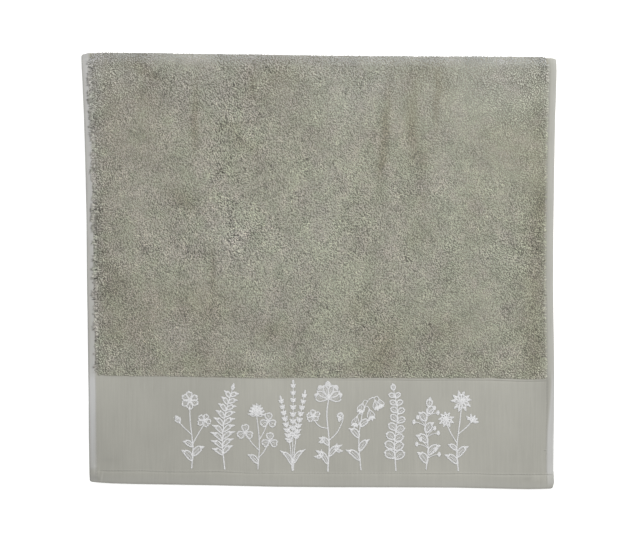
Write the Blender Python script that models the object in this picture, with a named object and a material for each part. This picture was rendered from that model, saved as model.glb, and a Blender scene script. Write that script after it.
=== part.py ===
"""Hand towel, folded once across its middle and laid flat.

One woven piece of cloth: terry with loops on both faces, a flat woven border at
each end, turned hems along all four edges. The cloth lies in two layers that are
joined by the fold. +X runs across the towel, +Y from the hems to the fold and +Z
up, with the underside of the back layer flat on Z = 0.
"""

from collections import namedtuple

import bmesh
import bpy
import math

MM = 0.001

# Thickness of the cloth, mm
TERRY = 3.6  # ground weave with a standing pile on both faces
WEAVE = 1.3  # flat woven border
TURNED = 2.3  # hem, turned twice and stitched down
CORNER = 0.5  # extra where the side and end hems cross

# Widths and lengths, mm
SIDE_HEM = 8.5
SIDE_ROUND = 0.6  # the hem's folded edge is rounded over this width
PILE_START = 1.6  # width over which the pile rises from the hem or the border
LAYER_GAP = 0.8  # air between the two layers
BACK_SHORTER = 3.0  # how far the back layer's end hem stops short of the front one
BACK_SHIFT = 0.8  # how far the back layer has slipped sideways
FOLD_DEPTH = 5.4  # how far the rounded fold reaches, along Y
FOLD_STEPS = 6
FOLD_EYE = 0.9  # half height of the drop-shaped hollow inside the fold

# The two long edges of the front layer: share of the way from hem to fold, and
# the left and right edges, mm from the middle
Sides = namedtuple("Sides", "share left right")
SIDES = [
    Sides(0.000, -240.2, 246.4),
    Sides(0.014, -240.9, 247.4),
    Sides(0.042, -241.9, 246.7),
    Sides(0.107, -242.3, 246.9),
    Sides(0.200, -242.4, 247.5),
    Sides(0.292, -243.0, 247.6),
    Sides(0.385, -243.5, 246.8),
    Sides(0.477, -244.1, 246.4),
    Sides(0.616, -244.6, 246.7),
    Sides(0.755, -246.0, 247.7),
    Sides(0.848, -247.2, 248.5),
    Sides(0.941, -249.0, 249.9),
    Sides(0.973, -249.8, 250.2),
    Sides(1.000, -250.2, 249.9),
]

# The two short edges, at places across the towel: the end hem's edge and the
# fold's crest, mm along Y, then the depth of the end hem and of the border with it
Ends = namedtuple("Ends", "across hem fold hem_depth border_depth")
ENDS = [
    Ends(-250.0, -221.6, 226.4, 13.6, 113.2),
    Ends(-241.0, -222.4, 227.4, 13.6, 113.2),
    Ends(-236.0, -223.0, 229.0, 13.7, 113.4),
    Ends(-222.0, -224.0, 229.2, 13.8, 113.6),
    Ends(-198.0, -224.7, 229.0, 14.0, 113.8),
    Ends(-122.0, -225.9, 228.0, 14.2, 114.4),
    Ends(-46.0, -227.6, 227.0, 14.5, 115.0),
    Ends(16.0, -228.1, 226.0, 14.7, 115.4),
    Ends(80.0, -228.2, 225.4, 14.9, 115.8),
    Ends(143.0, -228.5, 225.2, 15.1, 116.2),
    Ends(193.0, -229.6, 225.0, 15.3, 116.6),
    Ends(219.0, -230.2, 224.8, 15.4, 116.8),
    Ends(231.0, -229.9, 224.4, 15.4, 116.8),
    Ends(238.0, -229.2, 223.6, 15.4, 116.8),
    Ends(250.0, -228.4, 221.8, 15.4, 116.8),
]

# Soft folds that lift the front layer: the crest's place across at the fold end
# and at the border end, the share of the length it spans, its half width and rise
Fold = namedtuple("Fold", "top_x low_x low high half rise")
FOLDS = [
    Fold(-178, -170, 0.62, 1.02, 30, 1.0),
    Fold(-116, -104, 0.42, 1.02, 26, 1.5),
    Fold(-62, -30, 0.55, 1.02, 30, 1.1),
    Fold(20, 8, 0.30, 0.98, 48, 0.9),
    Fold(76, 78, 0.50, 0.96, 20, 1.5),
    Fold(114, 112, 0.36, 0.90, 22, 1.6),
    Fold(186, 170, 0.40, 1.02, 40, 1.2),
    Fold(-186, -176, 0.26, 0.52, 34, 1.1),
    Fold(-96, -92, 0.24, 0.50, 24, 1.2),
    Fold(-22, -14, 0.24, 0.44, 30, 0.9),
    Fold(134, 138, 0.24, 0.44, 26, 1.1),
    Fold(214, 216, 0.24, 0.52, 22, 0.8),
]
SAG_FROM, SAG_TO = 0.30, 0.46  # share of the length over which the lift dies away
BASE_LIFT = 0.7  # how loosely the front layer lies on the back one

# Rows of the mesh on each layer, mm from that layer's end hem, up to the pile,
# and then as shares of the length of the pile
BACK_SHARES = [0.06, 0.2, 0.36, 0.52, 0.68, 0.84, 0.94, 1.0]
FRONT_SHARES = [0.03, 0.08, 0.14, 0.21, 0.28, 0.35, 0.42, 0.49, 0.56, 0.63, 0.70, 0.77, 0.84, 0.90, 0.955, 1.0]
COLUMNS = 20


def ramp(low, high, x):
    """0 below low, 1 above high, and a smooth rise between them."""
    t = min(1.0, max(0.0, (x - low) / (high - low)))
    return t * t * (3 - 2 * t)


def table(rows, key, name, x):
    """A table's value at x, along straight lines between its rows."""
    if x <= getattr(rows[0], key):
        return getattr(rows[0], name)
    for a, b in zip(rows, rows[1:]):
        if x <= getattr(b, key):
            t = (x - getattr(a, key)) / (getattr(b, key) - getattr(a, key))
            return getattr(a, name) * (1 - t) + getattr(b, name) * t
    return getattr(rows[-1], name)


def end(name, x):
    return table(ENDS, "across", name, x)


def side(name, share):
    return table(SIDES, "share", name, share)


def pillow(mm, width):
    """How full a hem is, mm in from its folded edge: rounded at the edge, full in its middle, pulled down where it is stitched."""
    return ramp(-0.5, SIDE_ROUND + 1.2, mm) * (1 - ramp(width - 2.6, width - 0.2, mm))


def thickness(edge, depth, x):
    """The cloth's thickness, edge mm in from its side and depth mm up from its end hem."""
    border, hem = end("border_depth", x), end("hem_depth", x)
    pile = ramp(SIDE_HEM - 0.2, SIDE_HEM + PILE_START, edge)
    pile *= ramp(border - PILE_START / 2, border + PILE_START / 2, depth)
    end_hem, side_hem = pillow(depth, hem), pillow(edge, SIDE_HEM)
    turned = max(end_hem, side_hem) * (1 - pile)
    mm = WEAVE + (TERRY - WEAVE) * pile + (TURNED - WEAVE) * turned
    mm += CORNER * end_hem * side_hem
    rounded = min(ramp(-0.2, SIDE_ROUND, edge), ramp(-0.2, SIDE_ROUND, depth))
    return mm * (0.45 + 0.55 * rounded)


def lift(x, share, edge):
    """How far soft folds hold the front layer clear of the back one."""
    mm = BASE_LIFT
    for f in FOLDS:
        run = (share - f.low) / (f.high - f.low)
        if 0 < run < 1:
            crest = f.low_x + (f.top_x - f.low_x) * run
            near = max(0.0, 1 - ((x - crest) / f.half) ** 2)
            mm += f.rise * near * near * math.sin(math.pi * run) ** 0.8
    mm *= ramp(SAG_FROM - 0.1, SAG_TO, share)
    mm *= 1 - 0.6 * ramp(0.93, 1.0, share)
    return mm * (0.35 + 0.65 * ramp(0, 30, edge))


def front_middle(edge, depth, share, x):
    """Height of the middle of the front layer: it bridges from the stacked hems to the stacked pile."""
    border, hem = end("border_depth", x), end("hem_depth", x)
    over_hem = TURNED + LAYER_GAP + TURNED / 2
    over_pile = TERRY + LAYER_GAP + TERRY / 2
    mm = over_hem + (over_pile - over_hem) * ramp(hem * 0.6, border - 4, depth)
    in_corner = (1 - ramp(SIDE_HEM, SIDE_HEM + 10, edge)) * (1 - ramp(hem, hem + 12, depth))
    return mm + 1.5 * CORNER * in_corner + lift(x, share, edge)


def columns():
    """Places across the cloth: mm in from the left or the right side, or a share of the width between the hems."""
    near = [0.0, SIDE_ROUND, SIDE_HEM * 0.4, SIDE_HEM - 2.2, SIDE_HEM - 0.2, SIDE_HEM + PILE_START]
    left = [("left", mm) for mm in near]
    right = [("right", mm) for mm in reversed(near)]
    middle = [("share", k / COLUMNS) for k in range(1, COLUMNS)]
    return left + middle + right


def place(column, left, right):
    """(X, distance in from the nearer side) of a column between these two edges."""
    kind, mm = column
    if kind == "left":
        return left + mm, mm
    if kind == "right":
        return right - mm, mm
    inner = SIDE_HEM + PILE_START
    x = left + inner + (right - left - 2 * inner) * mm
    return x, min(x - left, right - x)


def rows_of(x, length, shares):
    """Distances from the end hem for one layer at this place across: its hem, its border, then its pile."""
    border, hem = end("border_depth", x), end("hem_depth", x)
    flat = [0.0, SIDE_ROUND, hem * 0.3, hem - 2.6, hem - 0.2, hem + 12]
    flat += [hem + (border - hem) * 0.35, hem + (border - hem) * 0.6, border - 14]
    flat += [border - PILE_START / 2, border + PILE_START / 2]
    pile = length - border - PILE_START / 2
    return flat + [border + PILE_START / 2 + pile * s for s in shares]


def section(column):
    """The folded section at one column, as (outer, inner) points from the back layer's end hem, round the fold, to the front layer's end hem."""
    nominal = place(column, side("left", 0.5), side("right", 0.5))[0]
    hem_y, crest_y = end("hem", nominal), end("fold", nominal)
    length = crest_y - FOLD_DEPTH - hem_y
    outer, inner = [], []

    def at(depth, shift):
        share = depth / (length + FOLD_DEPTH)
        x, edge = place(column, side("left", share), side("right", share))
        return x + shift * (1 - ramp(0.75, 1.0, share)), edge, share

    for depth in rows_of(nominal, length - BACK_SHORTER, BACK_SHARES):
        y = hem_y + BACK_SHORTER + depth
        x, edge, _ = at(depth + BACK_SHORTER, BACK_SHIFT)
        outer.append((x, y, 0.0))
        inner.append((x, y, thickness(edge, depth, nominal)))
    front = []
    for depth in rows_of(nominal, length, FRONT_SHARES):
        y = hem_y + depth
        x, edge, share = at(depth, 0.0)
        middle = front_middle(edge, depth, share, nominal)
        half = thickness(edge, depth, nominal) / 2
        front.append((x, y, middle - half, middle + half))
    front.reverse()
    top = front[0][3]
    eye_low, eye_high = inner[-1][2], front[0][2]
    base_y = front[0][1]
    x, edge, _ = at(length + FOLD_DEPTH, 0.0)
    wall = thickness(edge, length, nominal)
    for step in range(1, FOLD_STEPS):
        turn = math.pi * (step / FOLD_STEPS - 0.5)
        y = base_y + FOLD_DEPTH * math.cos(turn)
        z = top / 2 + top / 2 * math.sin(turn)
        outer.append((x, y, z))
        middle, half = (eye_low + eye_high) / 2, (eye_high - eye_low) / 2
        bulge = max(half, FOLD_EYE) * math.cos(turn) ** 0.5
        reach = max(0.6, FOLD_DEPTH - wall) * math.cos(turn)
        z = middle + (half + (bulge - half) * math.cos(turn)) * math.sin(turn)
        inner.append((x, base_y + reach, z))
    for x, y, low, high in front:
        outer.append((x, y, high))
        inner.append((x, y, low))
    return outer, inner


def cloth_mesh():
    """Bridges the sections into one closed body, with its four rims."""
    sections = [section(c) for c in columns()]
    points = [p for outer, inner in sections for p in outer + inner]
    middle = [(min(v) + max(v)) / 2 for v in zip(*points)]
    bm = bmesh.new()

    def vertex(p):
        return bm.verts.new(((p[0] - middle[0]) * MM, (p[1] - middle[1]) * MM, p[2] * MM))

    grid = [([vertex(p) for p in outer], [vertex(p) for p in inner]) for outer, inner in sections]
    last = len(grid[0][0]) - 1
    for (a_out, a_in), (b_out, b_in) in zip(grid, grid[1:]):
        for j in range(last):
            bm.faces.new((a_out[j], a_out[j + 1], b_out[j + 1], b_out[j]))
            bm.faces.new((a_in[j], b_in[j], b_in[j + 1], a_in[j + 1]))
        bm.faces.new((a_out[0], b_out[0], b_in[0], a_in[0]))
        bm.faces.new((a_out[last], a_in[last], b_in[last], b_out[last]))
    for out, inn in (grid[0], grid[-1]):
        for j in range(last):
            rim = (out[j], inn[j], inn[j + 1], out[j + 1])
            bm.faces.new(rim if out is grid[0][0] else rim[::-1])
    bmesh.ops.recalc_face_normals(bm, faces=bm.faces)
    mesh = bpy.data.meshes.new("towel")
    bm.to_mesh(mesh)
    bm.free()
    return mesh


def cotton():
    material = bpy.data.materials.new("sage_cotton")
    material.use_nodes = True
    shader = material.node_tree.nodes["Principled BSDF"]
    shader.inputs["Base Color"].default_value = (0.33, 0.325, 0.265, 1)
    shader.inputs["Roughness"].default_value = 0.95
    shader.inputs["Metallic"].default_value = 0.0
    return material


def main():
    for old in list(bpy.data.objects):
        bpy.data.objects.remove(old)
    towel = bpy.data.objects.new("towel", cloth_mesh())
    towel.data.materials.append(cotton())
    bpy.context.scene.collection.objects.link(towel)
    towel.data.shade_smooth()
    towel.data.set_sharp_from_angle(angle=math.radians(50))


main()
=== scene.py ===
"""Looks of a terry hand towel, folded once across its middle and laid flat.

The cloth is one thin closed sheet on the folds of its solid: a ground weave under
the pile, a flat ribbed border at each end and turned hems along all four edges.
On it stand loops of yarn, the hems' stitching and a row of embroidered sprigs.
Sizes are in millimetres until a mesh is made. +X runs across the towel, +Y from
the hems to the fold and +Z up.
"""

import math
from collections import namedtuple

import bpy
import numpy as np
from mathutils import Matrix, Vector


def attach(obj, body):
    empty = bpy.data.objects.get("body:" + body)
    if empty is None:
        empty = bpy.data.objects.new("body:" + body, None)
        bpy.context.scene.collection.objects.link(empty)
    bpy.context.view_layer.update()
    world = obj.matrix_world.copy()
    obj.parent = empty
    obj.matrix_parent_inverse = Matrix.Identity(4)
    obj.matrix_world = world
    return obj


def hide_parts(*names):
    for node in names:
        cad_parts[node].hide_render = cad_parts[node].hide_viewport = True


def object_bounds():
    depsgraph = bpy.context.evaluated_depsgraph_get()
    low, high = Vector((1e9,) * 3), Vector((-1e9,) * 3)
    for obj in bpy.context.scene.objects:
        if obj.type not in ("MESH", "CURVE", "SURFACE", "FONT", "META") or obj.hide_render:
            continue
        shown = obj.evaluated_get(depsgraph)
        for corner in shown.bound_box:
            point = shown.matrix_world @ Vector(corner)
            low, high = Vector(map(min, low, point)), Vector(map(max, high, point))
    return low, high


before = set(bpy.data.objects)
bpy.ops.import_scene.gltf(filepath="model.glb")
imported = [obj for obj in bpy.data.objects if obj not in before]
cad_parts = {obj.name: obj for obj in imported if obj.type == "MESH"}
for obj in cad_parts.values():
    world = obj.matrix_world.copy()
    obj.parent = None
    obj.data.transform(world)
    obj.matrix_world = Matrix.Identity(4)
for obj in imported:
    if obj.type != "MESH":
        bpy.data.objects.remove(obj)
cad_box = [list(corner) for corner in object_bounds()]

MM = 0.001
rng = np.random.default_rng(20)

# ---------------------------------------------------------------- the cloth's sizes

TERRY = 3.6  # ground weave with the standing pile on both faces
GROUND = 0.7  # the ground weave alone
WEAVE = 1.3  # flat woven border
TURNED = 2.3  # hem, turned twice and stitched down
CORNER = 0.5  # extra where the side and end hems cross
SIDE_HEM = 8.5
PILE_START = 1.6
LAYER_GAP = 0.8
BACK_SHORTER = 3.0
BACK_SHIFT = 0.8
FOLD_DEPTH = 5.4
FOLD_STEPS = 12
FOLD_FULL = 1.6  # the turned pile stands out this much past the solid
# How strongly the pile is painted lighter or darker by the lie of its nap: painted light and shade
NAP_LIGHT_AND_SHADE = 0.12
SLANT = math.radians(36)  # the loops mostly lie square to this direction

Sides = namedtuple("Sides", "share left right")
SIDES = [
    Sides(0.000, -241.2, 246.4),
    Sides(0.014, -241.6, 247.4),
    Sides(0.042, -241.9, 246.7),
    Sides(0.107, -242.3, 246.9),
    Sides(0.200, -242.4, 247.5),
    Sides(0.292, -243.0, 247.6),
    Sides(0.385, -243.5, 246.8),
    Sides(0.477, -244.1, 246.4),
    Sides(0.616, -244.6, 246.7),
    Sides(0.755, -246.0, 247.7),
    Sides(0.848, -247.2, 248.5),
    Sides(0.941, -249.0, 249.9),
    Sides(0.973, -249.8, 250.2),
    Sides(1.000, -250.2, 249.9),
]

Ends = namedtuple("Ends", "across hem fold hem_depth border_depth")
ENDS = [
    Ends(-250.0, -221.6, 226.4, 13.6, 113.2),
    Ends(-241.0, -222.4, 227.4, 13.6, 113.2),
    Ends(-236.0, -223.0, 229.0, 13.7, 113.4),
    Ends(-222.0, -224.0, 229.2, 13.8, 113.6),
    Ends(-198.0, -224.7, 229.0, 14.0, 113.8),
    Ends(-122.0, -225.9, 228.0, 14.2, 114.4),
    Ends(-46.0, -227.6, 227.0, 14.5, 115.0),
    Ends(16.0, -228.1, 226.0, 14.7, 115.4),
    Ends(80.0, -228.2, 225.4, 14.9, 115.8),
    Ends(143.0, -228.5, 225.2, 14.9, 116.2),
    Ends(193.0, -229.6, 225.0, 14.7, 116.6),
    Ends(219.0, -230.2, 224.8, 15.2, 116.8),
    Ends(231.0, -229.9, 224.4, 15.4, 116.8),
    Ends(238.0, -229.7, 223.6, 15.4, 116.8),
    Ends(250.0, -229.3, 221.8, 15.4, 116.8),
]

# How much further down the pile comes over the border at places across
PileFoot = namedtuple("PileFoot", "x drop")
PILE_FOOT = [
    PileFoot(-165, 0.0),
    PileFoot(-120, 0.7),
    PileFoot(-75, 0.8),
    PileFoot(-30, 0.3),
    PileFoot(20, 0.3),
    PileFoot(70, 0.4),
    PileFoot(105, 1.0),
    PileFoot(150, 0.6),
    PileFoot(180, 0.3),
    PileFoot(205, 0.9),
    PileFoot(240, 1.0),
]

# How much further in from the end hem's edge the stitching runs at places across
StitchWave = namedtuple("StitchWave", "x rise")
STITCH_WAVE = [
    StitchWave(-232, -0.5),
    StitchWave(-215, -0.1),
    StitchWave(-190, 0.5),
    StitchWave(-177, 0.1),
    StitchWave(-162, -0.4),
    StitchWave(-140, -0.2),
    StitchWave(-108, 0.75),
    StitchWave(-76, -0.4),
    StitchWave(-45, 0.0),
    StitchWave(130, 0.0),
    StitchWave(164, 0.8),
    StitchWave(178, 0.5),
    StitchWave(210, 0.8),
    StitchWave(228, 0.5),
    StitchWave(242, 0.1),
]

# Radius of the end hems' outer corners
ROUND_LEFT, ROUND_RIGHT = 1.9, 2.3

# Soft folds that lift the front layer, as in the solid
Fold = namedtuple("Fold", "top_x low_x low high half rise")
FOLDS = [
    Fold(-178, -170, 0.62, 1.02, 30, 1.0),
    Fold(-116, -104, 0.42, 1.02, 26, 1.5),
    Fold(-62, -30, 0.55, 1.02, 30, 1.1),
    Fold(20, 8, 0.30, 0.98, 48, 0.9),
    Fold(76, 78, 0.50, 0.96, 20, 1.5),
    Fold(114, 112, 0.36, 0.90, 22, 1.6),
    Fold(186, 170, 0.40, 1.02, 40, 1.2),
    Fold(-186, -176, 0.26, 0.52, 34, 1.1),
    Fold(-96, -92, 0.24, 0.50, 24, 1.2),
    Fold(-22, -14, 0.24, 0.44, 30, 0.9),
    Fold(134, 138, 0.24, 0.44, 26, 1.1),
    Fold(214, 216, 0.24, 0.52, 22, 0.8),
]
SAG_FROM, SAG_TO = 0.30, 0.46
BASE_LIFT = 0.7

# Places where the pile parts or lies down and is painted darker, or stands and is painted lighter,
# painted shade and light for how the light falls on the pile and on soft folds: place on the towel, half length and
# half width, the way it runs in degrees from +X, and how strong it is (below 0 darker, above 0 lighter)
Nap = namedtuple("Nap", "x y half_long half_wide turn strength")
NAPS = [
    # narrow partings
    Nap(-183, 210, 26, 6, -26, -1.1),
    Nap(-131, 158, 44, 4, 88, -1.4),
    Nap(-83, 154, 26, 4, 5, -0.9),
    Nap(-82, 136, 24, 8, -42, -1.1),
    Nap(-71, 197, 15, 4, 90, -0.9),
    Nap(68.5, 146, 52, 4.5, 85, -1.6),
    Nap(99.5, 152, 50, 6, 90, -1.15),
    Nap(110, 112, 19, 5.5, 90, -1.1),
    Nap(109, 75, 9, 5, 90, -0.6),
    Nap(65.5, 114, 9, 4, 90, -0.6),
    Nap(58, 142, 12, 5, 90, -0.4),
    Nap(66, 203, 8, 11, 0, 0.4),
    Nap(76, 88, 10, 6, 0, 0.6),
    Nap(123, 72, 9, 8, 0, 0.6),
    Nap(56, 193, 9, 7, 0, 0.45),
    Nap(124, 178, 44, 3.5, 86, -1.1),
    Nap(-140, 74, 22, 8, -34, -1.1),
    Nap(-112, 9, 36, 3.5, 88, -1.1),
    Nap(-224, -6, 66, 10, 90, -0.8),
    Nap(-232, 62, 165, 5.5, 91.5, -0.5),
    Nap(236, 66, 36, 6, 90, -1.0),
    Nap(0, -101, 220, 6, 0, -0.5),
    # broad places where it lies down or stands
    Nap(-212, -28, 62, 18, 90, -0.45),
    Nap(-205, -95, 28, 14, 0, 0.6),
    Nap(-153, -68, 18, 12, 0, 0.6),
    Nap(-180, -52, 44, 20, 90, -0.6),
    Nap(-120, -34, 42, 22, -18, -0.9),
    Nap(-48, -62, 22, 12, 0, -0.8),
    Nap(-88, -64, 16, 12, 0, 0.5),
    Nap(-88, 18, 18, 15, 0, 0.6),
    Nap(104, 98, 16, 14, 0, 0.5),
    Nap(180, 14, 28, 14, 0, 0.5),
    Nap(72, 44, 18, 34, 0, 0.4),
    Nap(133, 184, 16, 18, 0, -0.8),
    Nap(40, -40, 16, 14, 0, -0.7),
    Nap(202, 138, 28, 26, 0, -0.55),
    Nap(-42, 208, 26, 12, 0, -0.75),
    Nap(118, 208, 26, 12, 0, -0.75),
    Nap(66, -82, 30, 18, 62, -1.3),
    Nap(132, -62, 24, 16, 0, -0.7),
    Nap(223, -26, 28, 10, 90, -0.8),
    Nap(226, -88, 28, 9, 90, -0.9),
    Nap(103, 29, 20, 12, 30, -0.5),
    Nap(-56, 182, 42, 30, 0, -0.6),
    Nap(-182, 140, 90, 20, 90, -0.35),
    Nap(-58, 22, 60, 40, 0, 0.7),
    Nap(7, 74, 90, 22, 90, 0.7),
    Nap(28, 170, 46, 22, 84, 0.8),
    Nap(-110, 180, 14, 12, 0, 0.7),
    Nap(184, 186, 56, 44, 0, 0.75),
    Nap(-150, 222, 44, 9, 0, 0.1),
    Nap(232, 50, 150, 18, 90, -0.95),
    Nap(-104, 50, 36, 26, 0, 0.8),
    Nap(104, 2, 28, 20, 90, 0.7),
    Nap(138, 80, 100, 18, 90, 0.7),
    Nap(192, 20, 44, 26, 90, 0.5),
    Nap(-56, -92, 22, 14, 0, 1.1),
    Nap(7, -90, 18, 15, 0, 0.9),
    Nap(-116, 100, 58, 9, 130, 0.4),
    Nap(200, -60, 50, 18, 90, 0.4),
    Nap(-166, 16, 34, 26, 0, 0.3),
    Nap(-80, 148, 30, 22, 0, 0.6),
    Nap(-183, 182, 16, 12, 0, -0.7),
    Nap(-58, 168, 44, 14, 0, 0.35),
    Nap(-90, 42, 14, 12, 0, 0.45),
    Nap(-214, 16, 13, 12, 0, 0.6),
    Nap(-28, 8, 14, 18, 0, 0.4),
    Nap(176, 150, 26, 14, 0, -0.35),
    Nap(3, 140, 18, 26, 0, -0.5),
    Nap(-183, 84, 18, 26, 0, 0.5),
    Nap(158, 68, 14, 34, 0, -0.5),
    Nap(-44, -39, 50, 14, 0, 0.5),
    Nap(-214, -64, 14, 12, 0, -0.5),
    Nap(214, -62, 24, 22, 0, -0.5),
    Nap(96, 168, 12, 44, 0, -0.4),
    Nap(-216, 150, 12, 44, 0, -0.4),
    Nap(-126, -86, 26, 18, 0, -0.45),
    Nap(-225, 180, 55, 12, 90, -0.7),
    Nap(185, 221, 46, 7, 0, 0.8),
    Nap(-25, 223, 50, 5, 0, -0.5),
    Nap(-229, -80, 26, 6, 90, 0.4),
    Nap(238.6, 40, 130, 3, 89.3, 0.4),
    Nap(228, 60, 140, 8, 89.3, -0.3),
]

# Places where the pile is tousled (strength above 0) or lies evenly (below 0)
TOUSLES = [
    Nap(-150, 224, 30, 12, 0, -0.7),
    Nap(-60, 224, 40, 8, 0, -0.2),
    Nap(60, 222, 60, 8, 0, -0.3),
    Nap(184, 221, 52, 9, 0, -0.8),
    Nap(183, 153, 80, 62, 90, -0.46),
    Nap(-186, 132, 62, 26, 90, -0.24),
    Nap(165, -47, 40, 28, 90, -0.3),
    Nap(80, 160, 60, 46, 90, -0.16),
    Nap(-95, 142, 62, 28, 90, 0.42),
    Nap(-82, 42, 54, 40, 0, 0.2),
    Nap(-230, 0, 110, 12, 90, 0.2),
    Nap(66, -60, 28, 22, 90, 0.3),
    Nap(94, 25, 22, 16, 0, 0.25),
    Nap(212, 9, 30, 22, 90, 0.2),
    Nap(-166, 202, 26, 14, 0, 0.25),
]


def ramp(low, high, x):
    """0 below low, 1 above high, and a smooth rise between them."""
    t = np.clip((x - low) / (high - low), 0, 1)
    return t * t * (3 - 2 * t)


def bump(x, middle, half):
    """1 at the middle and 0 past half on either side of it."""
    return np.clip(1 - ((x - middle) / half) ** 2, 0, 1) ** 2


def table(rows, key, name, x):
    return np.interp(x, [getattr(r, key) for r in rows], [getattr(r, name) for r in rows])


def end(name, x):
    value = table(ENDS, "across", name, x)
    if name == "hem_depth":
        value = value + table(STITCH_WAVE, "x", "rise", x)
    return value - table(PILE_FOOT, "x", "drop", x) if name == "border_depth" else value


def side(name, share):
    return table(SIDES, "share", name, share)


def soft_noise(seed, x, y, size):
    """Smooth random values from -1 to 1 whose lumps are about size across."""
    grid = np.random.default_rng(seed).uniform(-1, 1, (512, 512))
    u, v = np.asarray(x) / size + 200, np.asarray(y) / size + 200
    i, j = np.floor(u).astype(int), np.floor(v).astype(int)
    a, b = u - i, v - j
    a, b = a * a * (3 - 2 * a), b * b * (3 - 2 * b)
    i, j = i % 511, j % 511
    low = grid[i, j] * (1 - a) + grid[i + 1, j] * a
    high = grid[i, j + 1] * (1 - a) + grid[i + 1, j + 1] * a
    return low * (1 - b) + high * b


def pillow(mm, width):
    """How full a hem is, mm in from its folded edge."""
    return ramp(-0.5, 1.8, mm) * (1 - ramp(width - 2.6, width - 0.2, mm))


def in_pile(edge, depth, border):
    pile = ramp(SIDE_HEM - 0.2, SIDE_HEM + PILE_START, edge)
    return pile * ramp(border - PILE_START / 2, border + PILE_START / 2, depth)


def solid_thickness(edge, depth, x):
    """The solid's thickness, whose middle is where the cloth's ground lies."""
    border, hem = end("border_depth", x), end("hem_depth", x)
    pile = in_pile(edge, depth, border)
    end_hem, side_hem = pillow(depth, hem), pillow(edge, SIDE_HEM)
    turned = np.maximum(end_hem, side_hem) * (1 - pile)
    mm = WEAVE + (TERRY - WEAVE) * pile + (TURNED - WEAVE) * turned
    return mm + CORNER * end_hem * side_hem


def sheet_thickness(edge, depth, x):
    """The woven cloth alone, rounded at its folded edges."""
    border, hem = end("border_depth", x), end("hem_depth", x)
    pile = in_pile(edge, depth, border)
    end_hem, side_hem = pillow(depth, hem), pillow(edge, SIDE_HEM)
    turned = np.maximum(end_hem, side_hem) * (1 - pile)
    mm = WEAVE + (GROUND - WEAVE) * pile + (TURNED - WEAVE) * turned
    mm = mm + CORNER * end_hem * side_hem
    near = np.clip(np.minimum(edge, depth) / 1.3, 0, 1)
    return mm * np.clip(np.sqrt(1 - (1 - near) ** 2), 0.14, 1)


def lift(x, share, edge):
    mm = np.full(np.shape(x + share), BASE_LIFT)
    for f in FOLDS:
        run = (share - f.low) / (f.high - f.low)
        crest = f.low_x + (f.top_x - f.low_x) * run
        near = np.clip(1 - ((x - crest) / f.half) ** 2, 0, 1)
        along = np.sin(math.pi * np.clip(run, 0, 1)) ** 0.8
        mm = mm + f.rise * near * near * along
    mm = mm * ramp(SAG_FROM - 0.1, SAG_TO, share)
    mm = mm * (1 - 0.6 * ramp(0.93, 1.0, share))
    return mm * (0.35 + 0.65 * ramp(0, 30, edge))


def front_middle(edge, depth, share, x):
    border, hem = end("border_depth", x), end("hem_depth", x)
    over_hem = TURNED + LAYER_GAP + TURNED / 2
    over_pile = TERRY + LAYER_GAP + TERRY / 2
    mm = over_hem + (over_pile - over_hem) * ramp(hem * 0.6, border - 4, depth)
    in_corner = (1 - ramp(SIDE_HEM, SIDE_HEM + 10, edge)) * (1 - ramp(hem, hem + 12, depth))
    return mm + 1.5 * CORNER * in_corner + lift(x, share, edge)


# Small puckers that the end hem's stitching pulls into the cloth: place across,
# half width, height, and how far up and down from the stitching they reach
Pucker = namedtuple("Pucker", "x half rise up down")
PUCKERS = [
    Pucker(-205, 8, 0.22, 7, 9),
    Pucker(-173, 5, 0.34, 6, 9),
    Pucker(-165, 4, -0.26, 8, 8),
    Pucker(-122, 7, 0.18, 9, 8),
    Pucker(-84, 6, -0.18, 6, 9),
    Pucker(-47, 5, 0.22, 7, 9),
    Pucker(-12, 8, -0.14, 9, 8),
    Pucker(32, 6, 0.2, 6, 9),
    Pucker(71, 5, 0.24, 8, 9),
    Pucker(83, 4, -0.22, 6, 8),
    Pucker(128, 7, 0.18, 7, 9),
    Pucker(164, 5, -0.2, 6, 9),
    Pucker(189, 5, 0.26, 8, 9),
    Pucker(205, 4, 0.4, 6, 9),
    Pucker(212, 4, -0.34, 8, 8),
    Pucker(222, 4, 0.36, 6, 9),
]


# How deep the end hem's stitching line is pressed in, and how high the cloth stands above it
StitchLine = namedtuple("StitchLine", "x groove ridge")
STITCH_LINE = [
    StitchLine(-250, 0.30, 0.14),
    StitchLine(-220, 0.30, 0.20),
    StitchLine(-202, 0.26, 0.20),
    StitchLine(-190, 0.18, 0.20),
    StitchLine(-150, 0.18, 0.20),
    StitchLine(-110, 0.24, 0.30),
    StitchLine(-80, 0.08, 0.22),
    StitchLine(-50, 0.03, 0.20),
    StitchLine(0, 0.04, 0.20),
    StitchLine(60, 0.04, 0.16),
    StitchLine(92, 0.04, 0.18),
    StitchLine(106, 0.12, 0.32),
    StitchLine(140, 0.14, 0.30),
    StitchLine(165, 0.08, 0.22),
    StitchLine(190, 0.24, 0.28),
    StitchLine(250, 0.22, 0.30),
]


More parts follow.
